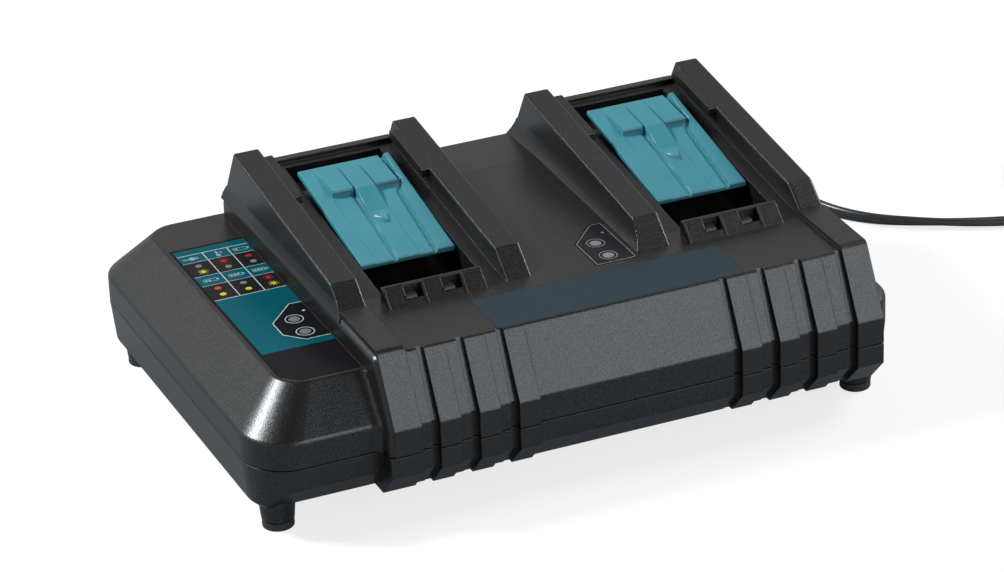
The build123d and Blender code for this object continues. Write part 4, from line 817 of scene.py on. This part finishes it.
def plug_sign(x, y):
    """A plug: a round body with two pins and a lead."""
    return [circle((x, y), 1.5 * MM, 20), mark(x, y, -4.2, -1.3, -0.3, 0.3),
            mark(x, y, 1.2, 3.0, 0.35, 0.85), mark(x, y, 1.2, 3.0, -0.85, -0.35)]


def heat_sign(x, y):
    """A thermometer: a bulb with its stem and two marks of its scale."""
    return [circle((x, y - 1.8 * MM), 1.1 * MM, 20), mark(x, y, -0.45, 0.45, -1.2, 2.4),
            mark(x, y, 1.2, 2.4, -0.2, 0.2), mark(x, y, 1.2, 2.4, 1.0, 1.4)]


def cell_sign(x, y, bars):
    """A battery outline with some of its bars filled."""
    shapes = [mark(x, y, -3.4, 3.0, 1.05, 1.4), mark(x, y, -3.4, 3.0, -1.4, -1.05),
              mark(x, y, -3.4, -3.05, -1.4, 1.4), mark(x, y, 2.65, 3.0, -1.4, 1.4),
              mark(x, y, 3.0, 3.8, -0.6, 0.6)]
    for left in -2.5 + 1.5 * np.arange(bars):
        shapes.append(mark(x, y, left, left + 1.0, -0.7, 0.7))
    return shapes


def table_signs():
    """Signs of the table: a plug, heat and a cell above, and three cells below."""
    first = run_y((TABLE_RUNS["top"] + TABLE_RUNS["signs_1"]) / 2)
    second = run_y((TABLE_RUNS["lamps_1"] + TABLE_RUNS["signs_2"]) / 2)
    left, middle, right = (PRINT_LEFT + column * MM for column in DOT_COLUMNS)
    right -= SIGN_SHIFT
    signs = plug_sign(left, first) + heat_sign(middle, first) + cell_sign(right, first, 1)
    for x, bars in ((left, 2), (middle, 3), (right, 4)):
        signs += cell_sign(x, second, bars)
    return signs


def table_dots():
    """Outlines of the table's dots and suns for each colour."""
    dots = {}
    for row, column, colour, rayed in TABLE:
        middle = (PRINT_LEFT + DOT_COLUMNS[column] * MM, run_y(DOT_ROWS[row]))
        shapes = [circle(middle, DOT_RADIUS)]
        if rayed:
            shapes = sun(middle, DOT_RADIUS * SUN_CORE, DOT_RADIUS * SUN_GAP, SUN_RADIUS)
        dots.setdefault(colour, []).extend(shapes)
    return dots


def print_band(rear, front):
    """Band across the print between two runs of the table."""
    return band(PRINT_LEFT, PRINT_RIGHT, run_y(TABLE_RUNS[front]), run_y(TABLE_RUNS[rear]))


def cross_rule(run, width):
    """Ruled line across the print at one run of the table."""
    y = run_y(TABLE_RUNS[run])
    return line_outline((PRINT_LEFT, y), (PRINT_RIGHT, y), width)


def label_rules(width):
    """Ruled lines of the table and of the lamp window."""
    rules = [cross_rule(run, width) for run in ("top", "lamps_2")]
    rules += [cross_rule(run, width * THIN_RULE) for run in ("signs_1", "lamps_1", "signs_2")]
    front, rear = run_y(TABLE_RUNS["lamps_2"]), run_y(TABLE_RUNS["top"])
    for x in (PRINT_LEFT + column * MM for column in COLUMN_LINES):
        rules.append(line_outline((x, front), (x, rear), width))
    return rules + polyline_outline(lamp_window(), width)


def on_label(name, outlines, colour, lift=RULE_LIFT):
    """Ink on the label, from just below its face to a lift above it."""
    place(prism_pieces(name, outlines, LABEL_TOP - PRINT_SINK, LABEL_TOP + lift, ink(colour)),
          "label_print")


def on_deck(name, outlines):
    """Grey ink on the deck's lamp window, along the deck's slope."""
    place(prism_pieces(name, outlines, -PRINT_SINK, RULE_LIFT, ink("grey"), tilt=deck_height),
          "window_black")


class ChargerLabel(bpy.types.Operator):
    """Print of the status label: bands, table of lamps and lamp window"""
    bl_idname = "charger.label"
    bl_label = "Status label"

    def execute(self, context):
        width = context.scene.charger_sizes.rule_width
        teal = [print_band("rear", "top"), print_band("top", "signs_1"),
                print_band("lamps_1", "signs_2"), field_outline()]
        dark = [print_band("signs_1", "lamps_1"), print_band("signs_2", "lamps_2")]
        on_label("label_print_teal", teal, "teal", PRINT_LIFT)
        on_label("label_print_dark", dark, "dark", PRINT_LIFT)
        on_label("label_print_rules", label_rules(width), "rule")
        for colour, outlines in table_dots().items():
            on_label("label_dots_" + colour, outlines, colour)
        on_label("label_print_signs", table_signs(), "pale")
        return {"FINISHED"}


COLLAR = 3.8 * MM               # radius of a lens's collar
RING_WIDTH = 0.38 * MM
WINDOW_THICK = 0.6 * MM
WINDOW_CUT = (13.0 * MM, 14.4 * MM)     # the cut at its rear left corner
WINDOW_RULE_INSET, WINDOW_RULE = 0.7 * MM, 0.8     # place and share of the ruled width
LAMP_DOT = 0.7 * MM             # radius of the small dot behind a window's rear lamp
LABEL_DOT, DECK_DOT = (6.5 * MM, 5.8 * MM), (7.0 * MM, 8.0 * MM)    # its place from that lamp


def lamp_middles(node):
    """Middle of each lens of a node, front first, from the node's box."""
    low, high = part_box(node)
    x = (low.x + high.x) / 2
    return [(x, low.y + COLLAR), (x, high.y - COLLAR)]


def lamp_dot(node, away):
    """Outline of the small dot beside the rear lamp of a node."""
    x, y = lamp_middles(node)[1]
    return [circle((x + away[0], y + away[1]), LAMP_DOT, 16)]


def deck_height(y):
    """Height of the sloping deck, worked out from the lamp window's front and rear edges."""
    share = (np.asarray(y) - WINDOW_LOW.y) / (WINDOW_HIGH.y - WINDOW_LOW.y)
    return WINDOW_LOW.z + WINDOW_THICK + share * (WINDOW_HIGH.z - WINDOW_LOW.z - WINDOW_THICK)


def window_corners(inset):
    """Corners of the deck's lamp window, drawn in by an inset."""
    left, right = WINDOW_LOW.x + inset, WINDOW_HIGH.x - inset
    front, rear = WINDOW_LOW.y + inset, WINDOW_HIGH.y - inset
    return [(left, front), (right, front), (right, rear), (left + WINDOW_CUT[0], rear),
            (left, rear - WINDOW_CUT[1])]


class ChargerWindows(bpy.types.Operator):
    """Rings round the four lamps, the small dots beside them and the deck window's outline"""
    bl_idname = "charger.windows"
    bl_label = "Lamp windows"

    def execute(self, context):
        sizes = context.scene.charger_sizes
        outer = sizes.lamp_ring / 2
        inner = outer - RING_WIDTH
        place(ring_piece("label_lamp_rings", lamp_middles("status_lenses"), inner, outer,
                         LABEL_TOP - PRINT_SINK, LABEL_TOP + RULE_LIFT, ink("rule")),
              "label_print")
        place(ring_piece("deck_lamp_rings", lamp_middles("deck_lenses"), inner, outer,
                         -PRINT_SINK, RULE_LIFT, ink("grey"), tilt=deck_height), "window_black")
        outline = window_corners(WINDOW_RULE_INSET)
        on_deck("deck_window_rules",
                polyline_outline(outline + outline[:1], sizes.rule_width * WINDOW_RULE))
        on_label("label_lamp_dot", lamp_dot("status_lenses", LABEL_DOT), "rule")
        on_deck("deck_lamp_dot", lamp_dot("deck_lenses", DECK_DOT))
        return {"FINISHED"}


# ---- entry brackets ----
# In millimetres: Y from the housing's rib faces, X from the middle of a dock's cover.
BRACKET_TOE, BRACKET_TOP = 50.8, 58.8   # foot and head of the brackets' sloping front
GUSSETS = (-25.3, -8.1, 9.7)
GUSSET_WIDTH, GUSSET_PROUD = 1.2, 0.9
GUSSET_BASE, GUSSET_HEAD = 72.4, 79.9
GUSSET_ROOTS = (1.5, 0.8)               # how deep it sits in the bracket at base and head
LEDGES = (-16.0, 1.1)
LEDGE_WIDTH, LEDGE_LAP = 4.8, 0.3
LEDGE_LOW, LEDGE_HIGH = 75.4, 76.6
LEDGE_FRONTS = (2.5, 3.4)               # its lower and upper front edge, behind the foot


def side_prisms(name, shapes, material):
    """Closed prisms along X, each given as its left and right x and an outline of (y, z)."""
    ends = [[np.column_stack([np.full(len(outline), x), outline]) * MM for x in (left, right)]
            for left, right, outline in shapes]
    return closed_prisms(name, ends, material)


class ChargerBrackets(bpy.types.Operator):
    """Gussets on the entry brackets and the small ledges in their windows"""
    bl_idname = "charger.brackets"
    bl_label = "Entry brackets"

    def execute(self, context):
        face = CAD_BOX[0].y / MM
        toe, top = face + BRACKET_TOE, face + BRACKET_TOP
        gusset = [(toe - GUSSET_PROUD, GUSSET_BASE), (toe + GUSSET_ROOTS[0], GUSSET_BASE),
                  (top + GUSSET_ROOTS[1], GUSSET_HEAD), (top - GUSSET_PROUD, GUSSET_HEAD)]
        ledge = [(toe + LEDGE_FRONTS[0], LEDGE_LOW), (top, LEDGE_LOW), (top, LEDGE_HIGH),
                 (toe + LEDGE_FRONTS[1], LEDGE_HIGH)]
        for side in SIDES:
            low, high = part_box("terminal_cover_" + side)
            middle = (low.x + high.x) / 2 / MM
            shapes = [(middle + x, middle + x + GUSSET_WIDTH, gusset) for x in GUSSETS]
            shapes += [(middle + x - LEDGE_LAP, middle + x + LEDGE_WIDTH, ledge) for x in LEDGES]
            place(side_prisms("entry_gussets_" + side, shapes, material_of("housing_black")),
                  "housing_black")
        return {"FINISHED"}


# ---- terminal covers ----
# In millimetres: x across from the middle, s down the slope from the rear and w square to it.
COVER_SLOPE = np.radians(11.47)
COVER_DEPTH = 11.0
COVER_HALF, COVER_LENGTH = 21.5, 74.0
COVER_CREASE = np.radians(50)           # sharper edges than this are shaded as edges
PLATE_SKIN = 2.2                        # thickness of the plate
CELL = 0.25                             # grid of its top
EDGE_ROUND = 0.7
PADS = ((-14.3, -4.3), (5.8, 16.2))
PAD_RISE, PAD_END, PAD_ROUND = 2.6, 23.4, 1.1
STRIP_GAP, STRIP_FOOT, STRIP_LOW = 0.4, 38.3, 0.15    # raised strip between the pads
ARROW_MIDDLE, ARROW_HALF = 0.75, 3.6
ARROW_BASE, ARROW_TIP = 41.3, 48.2
ARROW_RISE, ARROW_EDGE = 1.5, 0.7
CHANNEL = 0.35                          # depth of the channels in front of the pads
SCORE_HALF, SCORE_DEPTH = 0.95, 1.1     # the two grooves that run down the cover
LEFT_SCORE = ((-4.7, 23.4), (-5.4, 75.0))
RIGHT_SCORE = ((18.0, 20.9), (15.0, 27.5), (14.4, 31.0), (12.6, 75.0))
RIGHT_STEP = 0.5                        # the surface is this much higher beyond the right one
SLOT = (16.3, 18.5, -1.0, 19.5)         # left, right, rear and front
SLOT_FLOOR = 0.4                        # thickness left under the slot
SPRING_START, SPRING_END = 33.3, 64.0   # where the return spring is held
BLOCK_LAP = 0.2                         # how far the blocks reach into the plate
HOOK = (-2.0, 2.0, 0.3, 2.8, -5.5)      # left, right, two distances past the spring, low edge
SKIRT, SKIRT_THICK, SKIRT_LOW = 16.1, 1.8, -10.0
SKIRT_RUN = (4.0, 52.0)
RUNNER, RUNNER_LAP, RUNNER_THICK = 21.0, 0.5, 1.6


def soft_step(distance, width=0.3):
    """0 below -width / 2, 1 above width / 2 and a smooth cubic between."""
    u = np.clip(distance / width + 0.5, 0, 1)
    return u * u * (3 - 2 * u)


def inside_band(value, low, high, width=0.3):
    """1 between low and high, falling smoothly to 0 at both."""
    return soft_step(value - low, width) * soft_step(high - value, width)


def rounded(near, radius):
    """Fall of a rounded edge at a distance from it: r - sqrt(r^2 - (r - distance)^2)."""
    away = radius - np.clip(near, 0, radius)
    return radius - np.sqrt(np.clip(radius ** 2 - away ** 2, 0, None))


def line_distance(x, s, run):
    """Distance of each point to a line of points: the least over its straight stretches."""
    best = np.full(np.shape(x), np.inf)
    for (x0, s0), (x1, s1) in zip(run, run[1:]):
        along = np.array([x1 - x0, s1 - s0])
        share = ((x - x0) * along[0] + (s - s0) * along[1]) / (along @ along)
        share = np.clip(share, 0, 1)
        best = np.minimum(best, np.hypot(x - x0 - share * along[0], s - s0 - share * along[1]))
    return best


def cover_rise(x, s):
    """Height of a cover's top over its plane at x across and s down the slope from its rear.
    Ramps, channels, grooves and the arrow are added up through smooth steps."""
    score_x = np.interp(s, [p[1] for p in LEFT_SCORE], [p[0] for p in LEFT_SCORE])
    right_x = np.interp(s, [SLOT[2]] + [p[1] for p in RIGHT_SCORE],
                        [SLOT[1]] + [p[0] for p in RIGHT_SCORE])
    front = soft_step(s - PAD_END, 0.9)
    ramp = PAD_RISE * np.clip(s / PAD_END, 0, 1) - rounded(PAD_END - s, PAD_ROUND)
    rise = np.zeros(np.shape(x))
    for low, high in PADS:
        rise += inside_band(x, low, high) * (1 - front) * ramp
    strip = np.interp(s, [0, PAD_END, STRIP_FOOT], [0, PAD_RISE, STRIP_LOW])
    between = inside_band(x, PADS[0][1] + STRIP_GAP, PADS[1][0] - STRIP_GAP)
    rise += between * soft_step(STRIP_FOOT - s, 0.6) * strip
    channel = (inside_band(x, PADS[0][0], score_x - SCORE_HALF)
               + inside_band(x, PADS[1][0], right_x - SCORE_HALF))
    rise -= CHANNEL * front * channel
    rise += RIGHT_STEP * soft_step(x - right_x - SCORE_HALF)
    for run in (LEFT_SCORE, RIGHT_SCORE):
        rise -= SCORE_DEPTH * soft_step(SCORE_HALF - line_distance(x, s, run), 0.5)
    half = ARROW_HALF * (ARROW_TIP - s) / (ARROW_TIP - ARROW_BASE)
    arrow = (soft_step(s - ARROW_BASE)
             * soft_step((half - np.abs(x - ARROW_MIDDLE)) * ARROW_EDGE))
    rise += arrow * ARROW_RISE * np.clip((s - ARROW_BASE + 1) / (ARROW_TIP - ARROW_BASE), 0, 1)
    slot = inside_band(x, SLOT[0], SLOT[1]) * soft_step(SLOT[3] - s)
    rise = rise * (1 - slot) - (PLATE_SKIN - SLOT_FLOOR) * slot
    near = np.minimum(COVER_HALF - np.abs(x), np.minimum(s, COVER_LENGTH - s))
    return rise - rounded(near, EDGE_ROUND)


def slope_points(middle_x, x, s, w):
    """Points of a cover's own frame, in metres: rear edge + s down the slope + w square to it."""
    rear_y, rear_z = cover_rear()
    y = rear_y - s * MM * np.cos(COVER_SLOPE) - w * MM * np.sin(COVER_SLOPE)
    z = rear_z - s * MM * np.sin(COVER_SLOPE) + w * MM * np.cos(COVER_SLOPE)
    return np.stack([middle_x + x * MM, y, z], -1)


def cover_rear():
    """Y and Z of the rear edge of the covers' top planes, from the CAD cover's box."""
    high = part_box("terminal_cover_left")[1]
    return high.y - COVER_DEPTH * MM * np.sin(COVER_SLOPE), high.z


def cover_blocks():
    """Boxes under a cover's plate, each as x, s and w limits: spring hook, skirts and runners."""
    top = BLOCK_LAP - PLATE_SKIN
    left, right, start, end, low = HOOK
    blocks = [(left, right, SPRING_END + start, SPRING_END + end, low, top)]
    for side in (-1, 1):
        inner, outer = sorted((side * (SKIRT - SKIRT_THICK), side * SKIRT))
        blocks.append((inner, outer, *SKIRT_RUN, SKIRT_LOW, top))
        inner, outer = sorted((side * (SKIRT - RUNNER_LAP), side * RUNNER))
        blocks.append((inner, outer, *SKIRT_RUN, SKIRT_LOW, SKIRT_LOW + RUNNER_THICK))
    return blocks


def cover_mesh(name, middle_x, material):
    """A cover: a grid carried to cover_rise, closed by side walls and a flat underside."""
    columns = int(2 * COVER_HALF / CELL) + 1
    rows = int(COVER_LENGTH / CELL) + 1
    s, x = np.meshgrid(np.linspace(0, COVER_LENGTH, rows),
                       np.linspace(-COVER_HALF, COVER_HALF, columns), indexing="ij")
    top = slope_points(middle_x, x, s, cover_rise(x, s)).reshape(-1, 3)
    index = np.arange(rows * columns).reshape(rows, columns)
    quads = np.stack([index[:-1, :-1], index[1:, :-1], index[1:, 1:], index[:-1, 1:]], -1)
    rim = np.concatenate([index[0, :-1], index[:-1, -1], index[-1, :0:-1], index[:0:-1, 0]])
    below = slope_points(middle_x, x.ravel()[rim], s.ravel()[rim], -PLATE_SKIN)
    start, count = len(top), len(rim)
    k = np.arange(count)
    nxt = (k + 1) % count
    walls = np.stack([rim, rim[nxt], start + nxt, start + k], -1)
    faces = quads.reshape(-1, 4).tolist() + walls.tolist() + [(start + k)[::-1].tolist()]
    points = [top, below]
    start += count
    for x0, x1, s0, s1, w0, w1 in cover_blocks():
        corners = np.array([(a, b, c) for c in (w0, w1) for a, b in
                            ((x0, s0), (x1, s0), (x1, s1), (x0, s1))])
        points.append(slope_points(middle_x, *corners.T))
        faces += grid_faces(2, 4, start) + [[start + 3, start + 2, start + 1, start],
                                            [start + 4, start + 5, start + 6, start + 7]]
        start += 8
    piece = outward(mesh_piece(name, np.vstack(points), faces, material, smooth=True))
    piece.data.set_sharp_from_angle(angle=COVER_CREASE)
    return piece


class ChargerCovers(bpy.types.Operator):
    """Sliding terminal covers with their thumb pads, grooves and arrow"""
    bl_idname = "charger.covers"
    bl_label = "Terminal covers"

    def execute(self, context):
        for side in SIDES:
            node = "terminal_cover_" + side
            low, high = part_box(node)
            cover = cover_mesh("cover_plate_" + side, (low.x + high.x) / 2,
                               material_of("cover_teal"))
            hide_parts(node)
            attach(cover, side + "_cover")
        return {"FINISHED"}


# ---- springs ----
SPRING_RADIUS = 2.4 * MM
SPRING_TURNS = 30


def helix(start, end, radius, turns, per_turn=14):
    """Points of a spring: start + (end - start) * u + radius * (cos, sin) of the turn angle."""
    u = np.linspace(0, 1, int(turns * per_turn))
    axis = (end - start) / np.linalg.norm(end - start)
    across = np.array([1.0, 0.0, 0.0])
    rise = np.cross(axis, across)
    angle = 2 * np.pi * turns * u
    return (start + (end - start) * u[:, None] + radius * (np.cos(angle)[:, None] * across
                                                         + np.sin(angle)[:, None] * rise))


class ChargerSprings(bpy.types.Operator):
    """Return springs of the terminal covers"""
    bl_idname = "charger.springs"
    bl_label = "Return springs"

    def execute(self, context):
        wire = context.scene.charger_sizes.spring_wire / 2
        run = SPRING_RADIUS * np.sin(COVER_SLOPE)
        drop = SPRING_RADIUS * np.cos(COVER_SLOPE)
        for side in SIDES:
            low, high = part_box("cover_spring_" + side)
            x = (low.x + high.x) / 2
            front = np.array([x, low.y + run, low.z + drop])
            rear = np.array([x, high.y - run, high.z - drop])
            reach = (SPRING_END - SPRING_START) * MM / np.linalg.norm(front - rear)
            front = rear + (front - rear) * reach
            line = helix(rear, front, SPRING_RADIUS - wire, SPRING_TURNS)
            tangent = frames_along(line)
            middle = rear + (front - rear) * np.linspace(0, 1, len(line))[:, None]
            spring = sweep_piece("return_spring_" + side, line, circle((0, 0), wire, 8),
                                 np.cross(tangent, np.cross(line - middle, tangent)),
                                 material_of("spring_steel"))
            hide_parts("cover_spring_" + side)
            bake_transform(spring)
        return {"FINISHED"}


# ---- panel and registration ----
STEPS = (ChargerFinishes, ChargerStage, ChargerLead, ChargerLabel, ChargerWindows,
         ChargerBrackets, ChargerCovers, ChargerSprings)


class ChargerPanel(bpy.types.Panel):
    """Lists the charger's settings and steps"""
    bl_idname = "VIEW3D_PT_charger"
    bl_label = "Battery charger"
    bl_space_type = "VIEW_3D"
    bl_region_type = "UI"
    bl_category = "Charger"

    def draw(self, context):
        for group in (context.scene.charger_sizes, context.scene.charger_colours):
            for key in group.bl_rna.properties.keys():
                if key not in ("rna_type", "name"):
                    self.layout.prop(group, key)
        for step in STEPS:
            self.layout.operator(step.bl_idname)


CLASSES = (ChargerSizes, ChargerColours, *STEPS, ChargerPanel)


def register():
    """Registers the classes and the scene's settings."""
    for entry in CLASSES:
        bpy.utils.register_class(entry)
    bpy.types.Scene.charger_sizes = bpy.props.PointerProperty(type=ChargerSizes)
    bpy.types.Scene.charger_colours = bpy.props.PointerProperty(type=ChargerColours)


def unregister():
    """Removes what register added."""
    del bpy.types.Scene.charger_sizes
    del bpy.types.Scene.charger_colours
    for entry in reversed(CLASSES):
        bpy.utils.unregister_class(entry)


def main():
    """Builds every piece."""
    register()
    bpy.ops.charger.finishes()
    bpy.ops.charger.stage()
    bpy.ops.charger.lead()
    bpy.ops.charger.label()
    bpy.ops.charger.windows()
    bpy.ops.charger.brackets()
    bpy.ops.charger.covers()
    bpy.ops.charger.springs()


if __name__ == "__main__":
    main()
